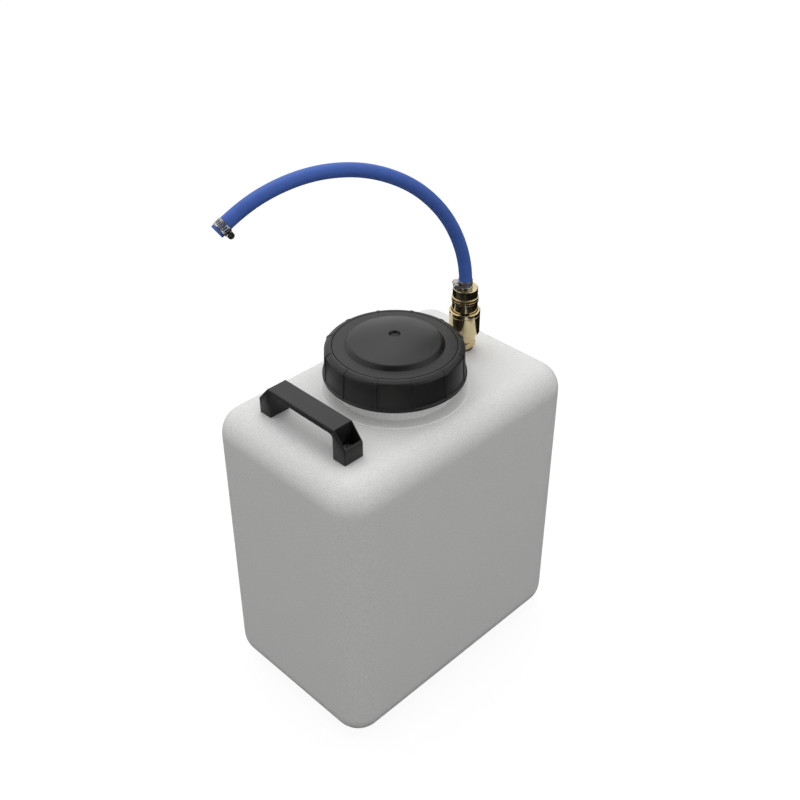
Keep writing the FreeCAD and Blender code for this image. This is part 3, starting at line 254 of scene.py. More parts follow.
def place_on_hose(distance):
    """The middle of the hose and its direction at a distance along it."""
    step = 0.4 * MM
    ahead = on_line(np.clip(distance + step, 0, hose_length))
    behind = on_line(np.clip(distance - step, 0, hose_length))
    way = ahead - behind
    return on_line(distance), way / np.linalg.norm(way, axis=-1, keepdims=True)


print("clamps at", round(LOW_BAND_MIDDLE, 4), "and", round(END_BAND_MIDDLE, 4), "along the hose")

# %% Wall of the hose
PRESSED_DEPTH, SWELL_HEIGHT = 0.22 * MM, 0.10 * MM
END_ROUNDING = 0.35 * MM
OUTSIDE_RINGS, BORE_RINGS, HOSE_SIDES = 420, 90, 64


def pressed_in(distance):
    """How far the wall gives way: a smooth step down under each band and a low swell beside it."""
    give = np.zeros_like(distance)
    for middle in (LOW_BAND_MIDDLE, END_BAND_MIDDLE):
        off = np.abs(distance - middle) - BAND_WIDTH / 2
        give += PRESSED_DEPTH / (1 + np.exp(off / (0.25 * MM)))
        give -= SWELL_HEIGHT * np.exp(-(((off - 1.2 * MM) / (0.9 * MM)) ** 2))
    return give


def wall_outline():
    """Distances and radii of the wall's closed outline: along the outside with its ends rounded,
    over the cut end, back along the bore, and over the foot."""
    out = np.linspace(END_ROUNDING, hose_length - END_ROUNDING, OUTSIDE_RINGS)
    back = np.linspace(hose_length - 0.1 * MM, 0.1 * MM, BORE_RINGS)
    runs = [
        ([0.08 * MM], [HOSE_RADIUS - 0.25 * MM]),
        (out, HOSE_RADIUS - pressed_in(out)),
        ([hose_length - 0.08 * MM, hose_length], [HOSE_RADIUS - 0.1 * MM, HOSE_RADIUS - 0.4 * MM]),
        (back, np.full(len(back), HOSE_BORE)),
        ([0.0], [HOSE_BORE + 0.2 * MM]),
    ]
    return [np.concatenate(run) for run in zip(*runs)]


def hose_surface():
    """The wall's outline (distance, radius) carried round the hose's line:
    point = middle + r (cos a side + sin a up), where up stands square on line and side."""
    distance, radius = wall_outline()
    angle = np.linspace(0, 2 * math.pi, HOSE_SIDES, endpoint=False)
    middle, way = place_on_hose(distance)
    up = np.cross(way, HOSE_SIDE)
    spoke = np.cos(angle)[None, :, None] * HOSE_SIDE + np.sin(angle)[None, :, None] * up[:, None]
    grid = middle[:, None] + radius[:, None, None] * spoke
    piece = surface("hose", grid, along=True)
    turn = np.broadcast_to(np.arange(HOSE_SIDES) / HOSE_SIDES, grid.shape[:2])
    metres = np.broadcast_to(distance[:, None], grid.shape[:2])
    for label, values in (("hose_distance", metres), ("hose_turn", turn)):
        attribute = piece.data.attributes.new(label, "FLOAT", "POINT")
        attribute.data.foreach_set("value", np.ascontiguousarray(values, np.float32).ravel())
    return piece


hose = hose_surface()
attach(hose, "coupler")
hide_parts("water_hose")
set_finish(hose, "hose_blue")

# %% [markdown]
# ## The screw lid
# The lid is two mouldings: a screw ring with twelve grip ribs, and a domed disc held under the
# ring's lip, parted from it by a thin groove. Ribs could be boxes joined to a turned ring, but then
# they would meet it in hard seams. Here the ring is one outline carried round, and each rib is the
# same outline moved outwards by a smooth step, so the ribs run into the bevel as if moulded.

# %% Ring with its grip ribs
RING_OUTLINE = [
    (57.3, 315.3),
    (64.4, 315.3),
    (64.4, 317.1),
    (62.8, 317.7),
    (62.0, 341.0),
    (60.9, 342.4),
    (57.6, 344.3),
    (55.5, 344.3),
    (55.5, 341.8),
    (57.3, 341.8),
    (57.3, 339.6),
    (56.6, 339.2),
    (56.6, 338.75),
    (57.3, 338.2),
]
RING_CUTS = [0.3, 0.45, 0.45, 0.6, 0.5, 0.8, 0.9, 0.35, 0.3, 0.3, 0.2, 0.2, 0.2, 0.2]
RIB_COUNT, RIB_HALF, RIB_HEIGHT, RIB_RADIUS = 12, 1.3, 0.8, 63.0
RIB_FOOT, RIB_TOP, TOP_FLAT = (316.6, 317.9), (341.2, 343.6), (56.1, 57.0)


def smooth_step(low, high, value):
    """0 below low, 1 above high, and 3t^2 - 2t^3 between them."""
    t = np.clip((value - low) / (high - low), 0, 1)
    return t * t * (3 - 2 * t)


def rib_angles():
    """Angles all round, close together at the ribs, and the share of a rib's height at each."""
    beside = np.array([-1.75, -1.5, -1.38, -1.26, -1.14, -1.0, -0.5, 0.0])
    rib = np.concatenate([beside, -beside[-2::-1]])
    pitch = 2 * math.pi * RIB_RADIUS / RIB_COUNT
    gap = np.linspace(rib[-1], pitch + rib[0], 16)[1:-1]
    offset = np.concatenate([rib, gap])
    plateau = 1 - smooth_step(RIB_HALF - 0.22, RIB_HALF + 0.2, np.abs(offset))
    plateau[len(rib):] = 0.0
    sector = 2 * math.pi / RIB_COUNT
    angle = (np.arange(RIB_COUNT)[:, None] * sector + offset / RIB_RADIUS).ravel()
    return angle, np.tile(plateau, RIB_COUNT)


def ring_surface():
    """Outline points move outwards by the rib's height, which fades at the flange, over the bevel
    and at the flat of the top: r = r0 + h(z, r0) p(angle)."""
    outline = softened(RING_OUTLINE, RING_CUTS)
    angle, plateau = rib_angles()
    r, z = outline[:, 0], outline[:, 1]
    outside = (r > 56.2) & (z > 316.4) & ~((r < 57.9) & (z < 343.0))
    height = RIB_HEIGHT * smooth_step(*RIB_FOOT, z) * outside
    height *= 1 - 0.35 * smooth_step(*RIB_TOP, z)
    height *= smooth_step(*TOP_FLAT, r)
    run = np.roll(outline, -1, axis=0) - np.roll(outline, 1, axis=0)
    outward = np.stack([run[:, 1], -run[:, 0]], axis=1)
    outward /= np.linalg.norm(outward, axis=1, keepdims=True)
    spread = height[:, None] * plateau
    radius = (r[:, None] + outward[:, :1] * spread) * MM
    level = (z[:, None] + outward[:, 1:] * np.minimum(spread, 0.4)) * MM
    grid = np.stack([radius * np.cos(angle), radius * np.sin(angle), level], axis=-1)
    return even_normals(surface("lid_grip_ring", grid, along=True))


lid_ring = ring_surface()
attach(lid_ring, "lid_screw")
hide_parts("lid_ring")
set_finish(lid_ring, "black_moulding")

# %% [markdown]
# ## Thread of the lid
# The ring grips the tank's neck with a coarse thread of one and a half turns. It is hidden while the
# lid is on and seen when it comes off. A section carried up a helix makes it, and the section's
# height fades at both ends, as a mould's thread does so that it starts without a burr.

# %% Thread inside the ring
LID_THREAD = dict(wall=57.3, crest=55.0, root_half=1.8, crest_half=0.8, pitch=6.0, low=323.0, turns=1.5)


def thread_surface(name, wall, crest, root_half, crest_half, pitch, low, turns, fade=0.06):
    """A ridge on a helix: angle 2 pi s, height low + pitch s. Its section is a trapezium whose
    height fades at both ends, where a mould's thread runs out into the wall."""
    s = np.linspace(0, turns, int(turns * 120))
    fading = smooth_step(0, fade, s) * smooth_step(0, fade, turns - s)
    top = wall + (crest - wall) * np.maximum(fading, 0.03)
    inward = np.sign(crest - wall)
    sunk = np.full_like(s, wall - 0.3 * inward)
    r = np.stack([sunk, top, top, sunk], axis=1)
    z = np.array([-root_half, -crest_half, crest_half, root_half])
    z = z[:: int(inward)][None] + (low + pitch * s)[:, None]
    angle = (2 * math.pi * s)[:, None]
    grid = np.stack([r * np.cos(angle), r * np.sin(angle), z], axis=-1) * MM
    return surface(name, grid[::-1], poles=True)


lid_thread = thread_surface("lid_thread", **LID_THREAD)
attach(lid_thread, "lid_screw")
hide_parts("lid_ring")
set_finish(lid_thread, "black_moulding")

# %% [markdown]
# ## Disc of the lid
# The disc is a shallow dome with a steep foot and a small dimple in its middle, and a seal's rib
# hangs under it. It is turned round the tank's axis from one outline. The dome's arcs are worked out
# from a ball's cap, so only the corners round it are given as points.

# %% Outline of the disc
DOME_BASE, DOME_RISE, DOME_LEVEL = 39.7, 6.2, 348.5
UNDER_BASE, UNDER_LEVEL = 37.1, 345.9
DIMPLE = [(0.0, 352.2), (4.3, 352.2), (5.1, 354.35)]
DOME_FOOT = [(40.9, 348.2), (44.3, 344.3)]
RIM = [(55.0, 344.3), (55.0, 341.7), (57.0, 341.7), (57.0, 339.5)]
SEAL_RIB = [(50.4, 339.5), (50.4, 335.0), (49.8, 334.0), (48.6, 334.0), (48.6, 339.5)]
UNDER_FOOT = [(42.1, 339.5), (37.1, 345.9)]
UNDER_DIMPLE = [(6.9, 351.8), (6.9, 348.7), (0.0, 348.7)]


def cap(radii, base, cap_rise, level):
    """Points (r, z) of a ball's cap with this base radius and rise, standing on a level."""
    ball = (base**2 + cap_rise**2) / (2 * cap_rise)
    return np.stack([radii, level + np.sqrt(ball**2 - radii**2) - (ball - cap_rise)], axis=1)


def disc_outline():
    """From the middle of the dimple out over the dome to the rim, and back under it, with each
    stretch's cut at its corners."""
    stretches = [
        (DIMPLE, [0.0, 0.5, 0.45]),
        (cap(np.linspace(5.6, 38.6, 14), DOME_BASE, DOME_RISE, DOME_LEVEL), 1.0),
        (DOME_FOOT, [1.2, 0.2]),
        (RIM, [0.35, 0.3, 0.3, 0.4]),
        (SEAL_RIB, 0.4),
        (UNDER_FOOT, 0.4),
        (cap(np.linspace(35.8, 7.4, 8), UNDER_BASE, DOME_RISE, UNDER_LEVEL), 1.0),
        (UNDER_DIMPLE, [0.5, 0.5, 0.0]),
    ]
    points = np.concatenate([points for points, cut in stretches])
    cuts = np.concatenate([np.broadcast_to(cut, (len(points),)) for points, cut in stretches])
    outline = softened(points, cuts, closed=False, steps=5)
    return outline[1:-1][::-1]


lid_disc = turned("lid_domed_disc", disc_outline(), sides=180, closed=False)
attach(lid_disc, "lid_plate")
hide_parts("lid_disc")
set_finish(lid_disc, "black_moulding")

# %% [markdown]
# ## The quick coupling
# The coupling is turned from bar: a nipple with a hexagon foot and a flared body, a release sleeve,
# the body with its ring band, and the collar that the hose is pushed on. Turned brass is all small
# roundings and sharp-looking shoulders, and it is these that catch the light, so each piece is its
# outline with every corner broken by a tenth of a millimetre.

# %% Outlines of the coupling, in millimetres from the outlet's axis
NIPPLE = [
    (2.75, 271.5),
    (3.2, 271.5),
    (3.6, 274.0),
    (3.2, 274.0),
    (3.6, 276.5),
    (3.2, 276.5),
    (3.2, 287.5),
    (6.6, 287.5),
    (6.6, 301.5),
    (8.7, 301.5),
    (9.6, 303.5),
    (9.3, 303.6),
    (9.3, 310.3),
    (11.0, 310.3),
    (11.8, 316.5),
    (11.1, 317.5),
    (7.9, 317.5),
    (7.9, 323.9),
    (6.9, 325.0),
    (6.9, 326.6),
    (7.9, 327.7),
    (7.9, 329.7),
    (7.1, 330.5),
    (5.95, 330.5),
    (5.95, 336.4),
    (5.35, 337.0),
    (2.75, 337.0),
]
BODY = [
    (8.0, 318.1),
    (10.9, 318.1),
    (10.9, 321.4),
    (10.2, 321.4),
    (10.2, 322.6),
    (10.9, 322.6),
    (10.9, 340.0),
    (11.8, 340.0),
    (11.8, 350.4),
    (12.4, 350.8),
    (12.4, 352.9),
    (11.8, 353.0),
    (12.4, 353.4),
    (12.4, 355.5),
    (11.6, 355.6),
    (11.6, 356.3),
    (7.55, 356.3),
    (7.55, 345.5),
    (8.6, 345.5),
    (8.6, 338.7),
    (6.15, 337.5),
    (6.15, 334.5),
    (8.2, 334.5),
    (8.2, 332.3),
    (6.15, 332.3),
    (6.15, 330.6),
    (8.0, 330.6),
]
SLEEVE = [
    (12.4, 317.5),
    (13.55, 317.5),
    (14.45, 318.4),
    (14.45, 337.1),
    (14.1, 337.1),
    (14.1, 337.9),
    (14.45, 337.9),
    (14.45, 341.25),
    (14.0, 341.7),
    (12.5, 341.7),
    (12.5, 328.5),
    (10.97, 328.5),
    (10.97, 322.65),
    (12.4, 322.65),
]
TAIL = [
    (6.3, 345.6),
    (7.5, 345.6),
    (7.5, 356.5),
    (11.6, 356.5),
    (11.6, 364.3),
    (11.2, 364.7),
    (4.0, 364.7),
    (3.6, 366.0),
    (4.2, 366.3),
    (3.6, 370.0),
    (4.2, 371.6),
    (3.6, 375.4),
    (4.2, 376.9),
    (3.6, 380.7),
    (3.0, 380.7),
    (3.0, 350.1),
    (6.3, 350.1),
]
CORNER_CUT = 0.12
for label, outline, node_name, body in (
    ("nipple_turned", NIPPLE, "outlet_nipple", "tank"),
    ("coupler_turned", BODY, "coupler_body", "coupler"),
    ("sleeve_turned", SLEEVE, "coupler_sleeve", "sleeve"),
    ("tail_turned", TAIL, "hose_tail", "coupler"),
):
    piece = turned(label, softened(outline, CORNER_CUT), OUTLET_X)
    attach(piece, body)
    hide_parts(node_name)
    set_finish(piece, "brass" if body == "tank" else "plated_brass")

# %% [markdown]
# ## Hexagon of the nipple
# A spanner turns the nipple home on a hexagon, which stands between its flange and its body. Six
# flats could be cut with Booleans. The flats and the cone that chamfers the corners are both radii
# of the angle and the height, so the smaller of the two is the finished bar.

# %% Hexagon foot
HEXAGON = dict(flats=19.8, low=303.5, high=309.5, bore=9.0, centre_x=OUTLET_X)


def hexagon_surface(name, flats, low, high, bore, centre_x):
    """The outside is the smaller of two radii: the hexagon's own, half the flats over the cosine of
    the angle from the nearest flat, and a cone of 30 degrees that chamfers the corners."""
    half = flats / 2
    angle = np.linspace(0, 2 * math.pi, 240, endpoint=False)
    from_flat = np.mod(angle, math.pi / 3) - math.pi / 6
    hexagon = half / np.cos(from_flat)
    hexagon = np.minimum(hexagon, half / math.cos(math.pi / 6) - 0.12)
    z = np.concatenate([np.linspace(low, low + 1.3, 8), np.linspace(high - 1.3, high, 8)])
    inside_end = np.minimum(z - low, high - z)
    cone = half - 0.25 + inside_end / math.tan(math.radians(30))
    side = np.minimum(hexagon, cone[:, None])
    inner = np.full((1, len(angle)), bore)
    radius = np.concatenate([inner, side, inner]) * MM
    level = np.concatenate([[low], z, [high]])[:, None] * MM
    level = np.broadcast_to(level, radius.shape)
    x, y = centre_x + radius * np.cos(angle), radius * np.sin(angle)
    return even_normals(surface(name, np.stack([x, y, level], axis=-1), along=True))


foot = hexagon_surface("nipple_hexagon", **HEXAGON)
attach(foot, "tank")
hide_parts("outlet_nipple")
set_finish(foot, "brass")

# %% [markdown]
# ## Spring of the sleeve
# A coil spring in the sleeve pushes it down again after it is drawn up. It is a round wire on a
# helix.

# %% Spring of the sleeve
SPRING_LOW, SPRING_HIGH, SLEEVE_STROKE = 328.5, 340.0, 4.5
COIL_RADIUS, WIRE_RADIUS, COIL_TURNS = 11.6, 0.5, 4.0


def spring_surface(name, coil, wire, turns, low, high):
    """A round wire on a helix of angle 2 pi s: point = middle + wire (cos b out + sin b up), where
    out points away from the axis and up stands square on out and on the wire's direction."""
    s = np.linspace(0, turns, int(turns * 60))
    angle = 2 * math.pi * s
    rise = (high - low - 2 * wire) / turns
    out = np.stack([np.cos(angle), np.sin(angle), np.zeros_like(s)], axis=-1)
    climb = np.full_like(s, rise / (2 * math.pi * coil))
    way = np.stack([-np.sin(angle), np.cos(angle), climb], axis=-1)
    up = np.cross(out, way / np.linalg.norm(way, axis=-1, keepdims=True))
    middle = coil * out + (low + wire + rise * s)[:, None] * np.array([0.0, 0.0, 1.0])
    around = np.linspace(0, 2 * math.pi, 12, endpoint=False)[None, :, None]
    ring = np.cos(around) * out[:, None] + np.sin(around) * up[:, None]
    grid = (middle[:, None] + wire * ring) * MM + np.array([OUTLET_X, 0.0, 0.0])
    return surface(name, grid[:, ::-1], poles=True)


spring = spring_surface("sleeve_coil", COIL_RADIUS, WIRE_RADIUS, COIL_TURNS, SPRING_LOW, SPRING_HIGH)
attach(spring, "coupler")
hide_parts("sleeve_spring")
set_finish(spring, "spring_steel")
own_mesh(spring)

# %% [markdown]
# ## Hose clamps
# A worm-drive clamp is a thin stainless band with slanted slots, wrapped a little over one turn, and
# a saddle bent over the worm screw. The band is a strip on a grid: cells that fall in a slot are left
# out, and Solidify gives what is left its thickness. The saddle is an arch carried along the worm.


# %% Axes of a clamp
def clamp_axes(distance, azimuth, sense):
    """Middle and the three axes of a clamp on the hose. The shortest turn that leans the upright
    axis along the hose, or against it where sense is -1, carries the housing's direction with it
    (Rodrigues' formula)."""
    middle, way = place_on_hose(np.array([distance]))
    middle, way = middle[0], sense * way[0]
    upright = np.array([0.0, 0.0, 1.0])
    hinge, cosine = np.cross(upright, way), float(way[2])

    def leaned(vector):
        turned_part = np.cross(hinge, vector)
        return vector * cosine + turned_part + hinge * (hinge @ vector) / (1 + cosine)

    turn = math.radians(azimuth)
    outward = leaned(np.array([math.cos(turn), math.sin(turn), 0.0]))
    across = leaned(np.array([-math.sin(turn), math.cos(turn), 0.0]))
    return middle, np.stack([outward, across, way])


def in_clamp(axes, x, y, z):
    """Local millimetres to the part's frame."""
    middle, directions = axes
    local = np.stack(np.broadcast_arrays(x, y, z), axis=-1) * MM
    return middle + local @ directions


# %% Band with its slots
SLOTS_PER_TURN, CELLS_PER_SLOT, OVERLAP_SLOTS = 20, 6, 4
BAND_RADIUS, BAND_THICKNESS, TAIL_CLEARANCE = 6.3, 0.5, 0.05
SLOT_HALF, SLOT_LEAN, SLOT_MARGIN = 2.1, 0.10, 0.1


def band_surface(name, axes):
    """Strip on the cylinder: radius steps up by its own thickness where the tail passes over the
    start, r(a) = r0 + t step(a), and the slots lean by shifting the angle with the width."""
    count = (SLOTS_PER_TURN + OVERLAP_SLOTS) * CELLS_PER_SLOT + 1
    pitch = 2 * math.pi / SLOTS_PER_TURN
    angle = (np.arange(count) / CELLS_PER_SLOT - OVERLAP_SLOTS / 2) * pitch
    rise_over = smooth_step(2 * math.pi - 3.2 * pitch, 2 * math.pi - 1.9 * pitch, angle)
    radius = BAND_RADIUS + (BAND_THICKNESS + TAIL_CLEARANCE) * rise_over
    width = np.array([-3.5, -3.3, -2.7, -SLOT_HALF, -1.0, 0.0, 1.0, SLOT_HALF, 2.7, 3.3, 3.5])[:, None]
    turn = angle[None] + SLOT_LEAN * width / BAND_RADIUS * (np.abs(width) < SLOT_HALF + SLOT_MARGIN)
    grid = in_clamp(axes, radius * np.cos(turn), radius * np.sin(turn), width)
    phase = np.arange(count) % CELLS_PER_SLOT
    in_slot = (phase >= 2) & (phase < 5)
    first_turns = np.arange(count) < count - 2 * CELLS_PER_SLOT
    middle_rows = (width >= -SLOT_HALF) & (width < SLOT_HALF)
    piece = surface(name, grid, around=False, keep=~(middle_rows & (in_slot & first_turns)[None]))
    shell = piece.modifiers.new("band_wall", "SOLIDIFY")
    shell.thickness = BAND_THICKNESS * MM
    shell.offset = 0.0
    return piece


# %% Saddle over the worm
WORM_PLACE, ARCH_RADIUS, LEG_FOOT = 9.02, 2.45, 6.95
SADDLE_WALL, SADDLE_EDGE, SADDLE_FLARE = 0.6, 0.15, 0.15


def saddle_surface(name, axes):
    """Arch of half a circle on two upright legs, carried along the worm and flared at its ends."""
    roof = np.linspace(0, math.pi, 25)
    leg = [LEG_FOOT, LEG_FOOT + 1.0]
    side_x = np.concatenate([leg, WORM_PLACE + ARCH_RADIUS * np.sin(roof), leg[::-1]])[:, None]
    side_z = np.concatenate([[-1, -1], -np.cos(roof), [1, 1]])[:, None] * ARCH_RADIUS
    y = np.array([-3.75, -3.6, -3.3, -2.6, 0.0, 2.6, 3.3, 3.6, 3.75])
    flare = SADDLE_FLARE * (np.abs(y) > 3.5)
    grid = in_clamp(axes, side_x + flare * (side_x > WORM_PLACE), y[None], side_z)
    piece = surface(name, grid, around=False)
    shell = piece.modifiers.new("saddle_wall", "SOLIDIFY")
    shell.thickness = SADDLE_WALL * MM
    shell.offset = 0.0
    edge = piece.modifiers.new("saddle_edges", "BEVEL")
    edge.width = SADDLE_EDGE * MM
    edge.segments = 2
    edge.limit_method = "ANGLE"
    return piece


# %% Both clamps
for label, distance, azimuth, sense in (
    ("lower_clamp", LOW_BAND_MIDDLE, 140.0, 1.0),
    ("end_clamp", END_BAND_MIDDLE, 307.0, -1.0),
):
    axes = clamp_axes(distance, azimuth, sense)
    for maker, suffix in ((band_surface, "band"), (saddle_surface, "housing")):
        piece = maker(f"{label}_{suffix}_bent", axes)
        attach(piece, "coupler")
        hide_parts(f"{label}_{suffix}")
        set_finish(piece, "stainless")

# %% [markdown]
# ## Handle
# The handle is a plain moulded bridge, and its CAD solid has the right form. Only its edges are too
# sharp for a moulding, so a copy of its mesh is merged and its edges are broken with a bevel.


# %% Break the handle's edges
def soft_edged(name, node_name, width):
    """A merged copy of a CAD node's mesh with flat faces joined and a small bevel on its edges."""
    source = frame["nodes"][node_name]
    mesh = source.data.copy()
    mesh.name = name
    work = bmesh.new()
    work.from_mesh(mesh)
    bmesh.ops.remove_doubles(work, verts=work.verts, dist=0.002 * MM)
    flat = math.radians(1.0)
    bmesh.ops.dissolve_limit(work, angle_limit=flat, verts=work.verts, edges=work.edges)
    work.to_mesh(mesh)
    work.free()
    piece = bpy.data.objects.new(name, mesh)
    bpy.context.collection.objects.link(piece)
    mesh.polygons.foreach_set("use_smooth", np.ones(len(mesh.polygons), bool))
    edge = piece.modifiers.new("edges", "BEVEL")
    edge.width = width * MM
    edge.segments = 3
    edge.limit_method = "ANGLE"
    edge.angle_limit = math.radians(28)
    edge.harden_normals = True
    print(name, len(mesh.polygons), "faces before its bevel")
    return piece


HANDLE_EDGE = 0.35
handle = soft_edged("handle_moulding", "handle_grip", HANDLE_EDGE)
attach(handle, "tank")
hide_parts("handle_grip")
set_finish(handle, "black_handle")

# %% [markdown]
# ## Shared effects
# Grain, drifting tone and turning marks appear in several finishes, so each is a node group with
# named inputs and outputs. They put out values and colours only; every shader stays in its material.


# %% Helper for node groups
def new_group(name, inputs, outputs):
    """An empty shader node group with named sockets: (name, socket type, default)."""
    group = bpy.data.node_groups.new(name, "ShaderNodeTree")
    for label, kind, default in inputs:
        made = group.interface.new_socket(name=label, in_out="INPUT", socket_type=kind)
        if default is not None:
            made.default_value = default
    for label, kind in outputs:
        group.interface.new_socket(name=label, in_out="OUTPUT", socket_type=kind)
    print("group", name, "has", len(inputs), "inputs and", len(outputs), "outputs")
    return group, group.nodes.new("NodeGroupInput"), group.nodes.new("NodeGroupOutput")


def chained(tree, kind, links=(), **settings):
    """Adds a node, sets its plain settings and links sockets into its inputs by name or number."""
    node = tree.nodes.new(kind)
    for key, value in settings.items():
        setattr(node, key, value)
    for socket, source in links:
        if hasattr(source, "is_output"):
            tree.links.new(source, node.inputs[socket])
        else:
            node.inputs[socket].default_value = source
    return node


# %% Grain of a moulding
grain, given, result = new_group(
    "moulded_grain",
    [("Vector", "NodeSocketVector", None), ("Scale", "NodeSocketFloat", 1500.0)],
    [("Height", "NodeSocketFloat")],
)
fine = chained(
    grain, "ShaderNodeTexNoise", [("Vector", given.outputs["Vector"]), ("Scale", given.outputs["Scale"])]
)
fine.inputs["Detail"].default_value = 3.0
pits = chained(
    grain, "ShaderNodeTexVoronoi", [("Vector", given.outputs["Vector"]), ("Scale", given.outputs["Scale"])]
)
both = chained(
    grain,
    "ShaderNodeMath",
    [(0, fine.outputs["Fac"]), (1, 0.6), (2, pits.outputs["Distance"])],
    operation="MULTIPLY_ADD",
)
grain.links.new(both.outputs[0], result.inputs["Height"])

# %% Tone that drifts over a surface
drift, given, result = new_group(
    "tone_drift",
    [
        ("Vector", "NodeSocketVector", None),
        ("Scale", "NodeSocketFloat", 12.0),
        ("Tone A", "NodeSocketColor", None),
        ("Tone B", "NodeSocketColor", None),
        ("Low", "NodeSocketFloat", 0.0),
        ("High", "NodeSocketFloat", 1.0),
    ],
    [("Color", "NodeSocketColor"), ("Value", "NodeSocketFloat")],
)
cloud = chained(
    drift, "ShaderNodeTexNoise", [("Vector", given.outputs["Vector"]), ("Scale", given.outputs["Scale"])]
)
cloud.inputs["Detail"].default_value = 5.0
spread = chained(
    drift,
    "ShaderNodeMapRange",
    [
        ("Value", cloud.outputs["Fac"]),
        ("From Min", 0.3),
        ("From Max", 0.7),
        ("To Min", given.outputs["Low"]),
        ("To Max", given.outputs["High"]),
    ],
)
share = chained(
    drift, "ShaderNodeMapRange", [("Value", cloud.outputs["Fac"]), ("From Min", 0.3), ("From Max", 0.7)]
)
blend = chained(
    drift,
    "ShaderNodeMixRGB",
    [(0, share.outputs["Result"]), (1, given.outputs["Tone A"]), (2, given.outputs["Tone B"])],
)
drift.links.new(blend.outputs[0], result.inputs["Color"])
drift.links.new(spread.outputs["Result"], result.inputs["Value"])

# %% Marks of the lathe
marks, given, result = new_group(
    "lathe_marks",
    [
        ("Vector", "NodeSocketVector", None),
        ("Axis X", "NodeSocketFloat", OUTLET_X),
        ("Lines per metre", "NodeSocketFloat", 9000.0),
    ],
    [("Height", "NodeSocketFloat")],
)
split = chained(marks, "ShaderNodeSeparateXYZ", [(0, given.outputs["Vector"])])
off = chained(
    marks,
    "ShaderNodeMath",
    [(0, split.outputs["X"]), (1, given.outputs["Axis X"])],
    operation="SUBTRACT",
)
flat_place = chained(marks, "ShaderNodeCombineXYZ", [("X", off.outputs[0]), ("Y", split.outputs["Y"])])
radial = chained(marks, "ShaderNodeVectorMath", [(0, flat_place.outputs[0])], operation="LENGTH")
total = chained(
    marks,
    "ShaderNodeMath",
    [(0, radial.outputs["Value"]), (1, split.outputs["Z"])],
    operation="ADD",
)
scaled = chained(
    marks,
    "ShaderNodeMath",
    [(0, total.outputs[0]), (1, given.outputs["Lines per metre"])],
    operation="MULTIPLY",
)
uneven = chained(
    marks, "ShaderNodeTexNoise", [("W", scaled.outputs[0]), ("Scale", 1.0)], noise_dimensions="1D"
)
marks.links.new(uneven.outputs["Fac"], result.inputs["Height"])

# %% [markdown]
# ## Finishes
# Each finish is one Principled shader whose numbers that never change sit on the shader itself, and
# whose colour, roughness and relief vary over the surface through the groups above.


# %% Helpers for materials
def new_finish(name, **plain):
    """A material with a Principled shader, its plain numbers set, and object coordinates."""
    made = bpy.data.materials.new(name)
    made.use_nodes = True
    shader = made.node_tree.nodes["Principled BSDF"]
    for label, value in plain.items():
        shader.inputs[label.replace("_", " ")].default_value = value
    place = made.node_tree.nodes.new("ShaderNodeTexCoord").outputs["Object"]
    return made, shader, place


def use_group(made, group, links):
    """Places a group in a material and links or sets its inputs."""
    node = made.node_tree.nodes.new("ShaderNodeGroup")
    node.node_tree = group
    for socket, source in links:
        if hasattr(source, "is_output"):
            made.node_tree.links.new(source, node.inputs[socket])
        else:
            node.inputs[socket].default_value = source
    return node


def add_tone(made, shader, place, tones, patches, roughness):
    """Base colour drifts between two tones, and roughness between two numbers."""
    node = use_group(
        made,
        drift,
        [
            ("Vector", place),
            ("Scale", patches),
            ("Tone A", (*tones[0], 1.0)),
            ("Tone B", (*tones[1], 1.0)),
            ("Low", roughness[0]),
            ("High", roughness[1]),
        ],
    )
    made.node_tree.links.new(node.outputs["Color"], shader.inputs["Base Color"])
    made.node_tree.links.new(node.outputs["Value"], shader.inputs["Roughness"])


def add_relief(made, shader, height, strength, distance):
    """Relief of a given depth in metres."""
    bump = made.node_tree.nodes.new("ShaderNodeBump")
    bump.inputs["Strength"].default_value = strength
    bump.inputs["Distance"].default_value = distance
    made.node_tree.links.new(height, bump.inputs["Height"])
    made.node_tree.links.new(bump.outputs["Normal"], shader.inputs["Normal"])


def moulded(name, tones, patches, roughness, grain_scale, depth, **plain):
    """Moulded plastic or rubber: drifting tone under a fine grain."""
    made, shader, place = new_finish(name, **plain)
    add_tone(made, shader, place, tones, patches, roughness)
    node = use_group(made, grain, [("Vector", place), ("Scale", grain_scale)])
    add_relief(made, shader, node.outputs["Height"], 0.6, depth)
    return made


def machined(name, tones, patches, roughness, lines, depth):
    """Turned or drawn metal: faint tarnish under the marks of the lathe."""
    made, shader, place = new_finish(name, Metallic=1.0)
    add_tone(made, shader, place, tones, patches, roughness)
    node = use_group(made, marks, [("Vector", place), ("Lines per metre", lines)])
    add_relief(made, shader, node.outputs["Height"], 0.35, depth)
    return made


print("finishes draw on", grain.name, drift.name, "and", marks.name)

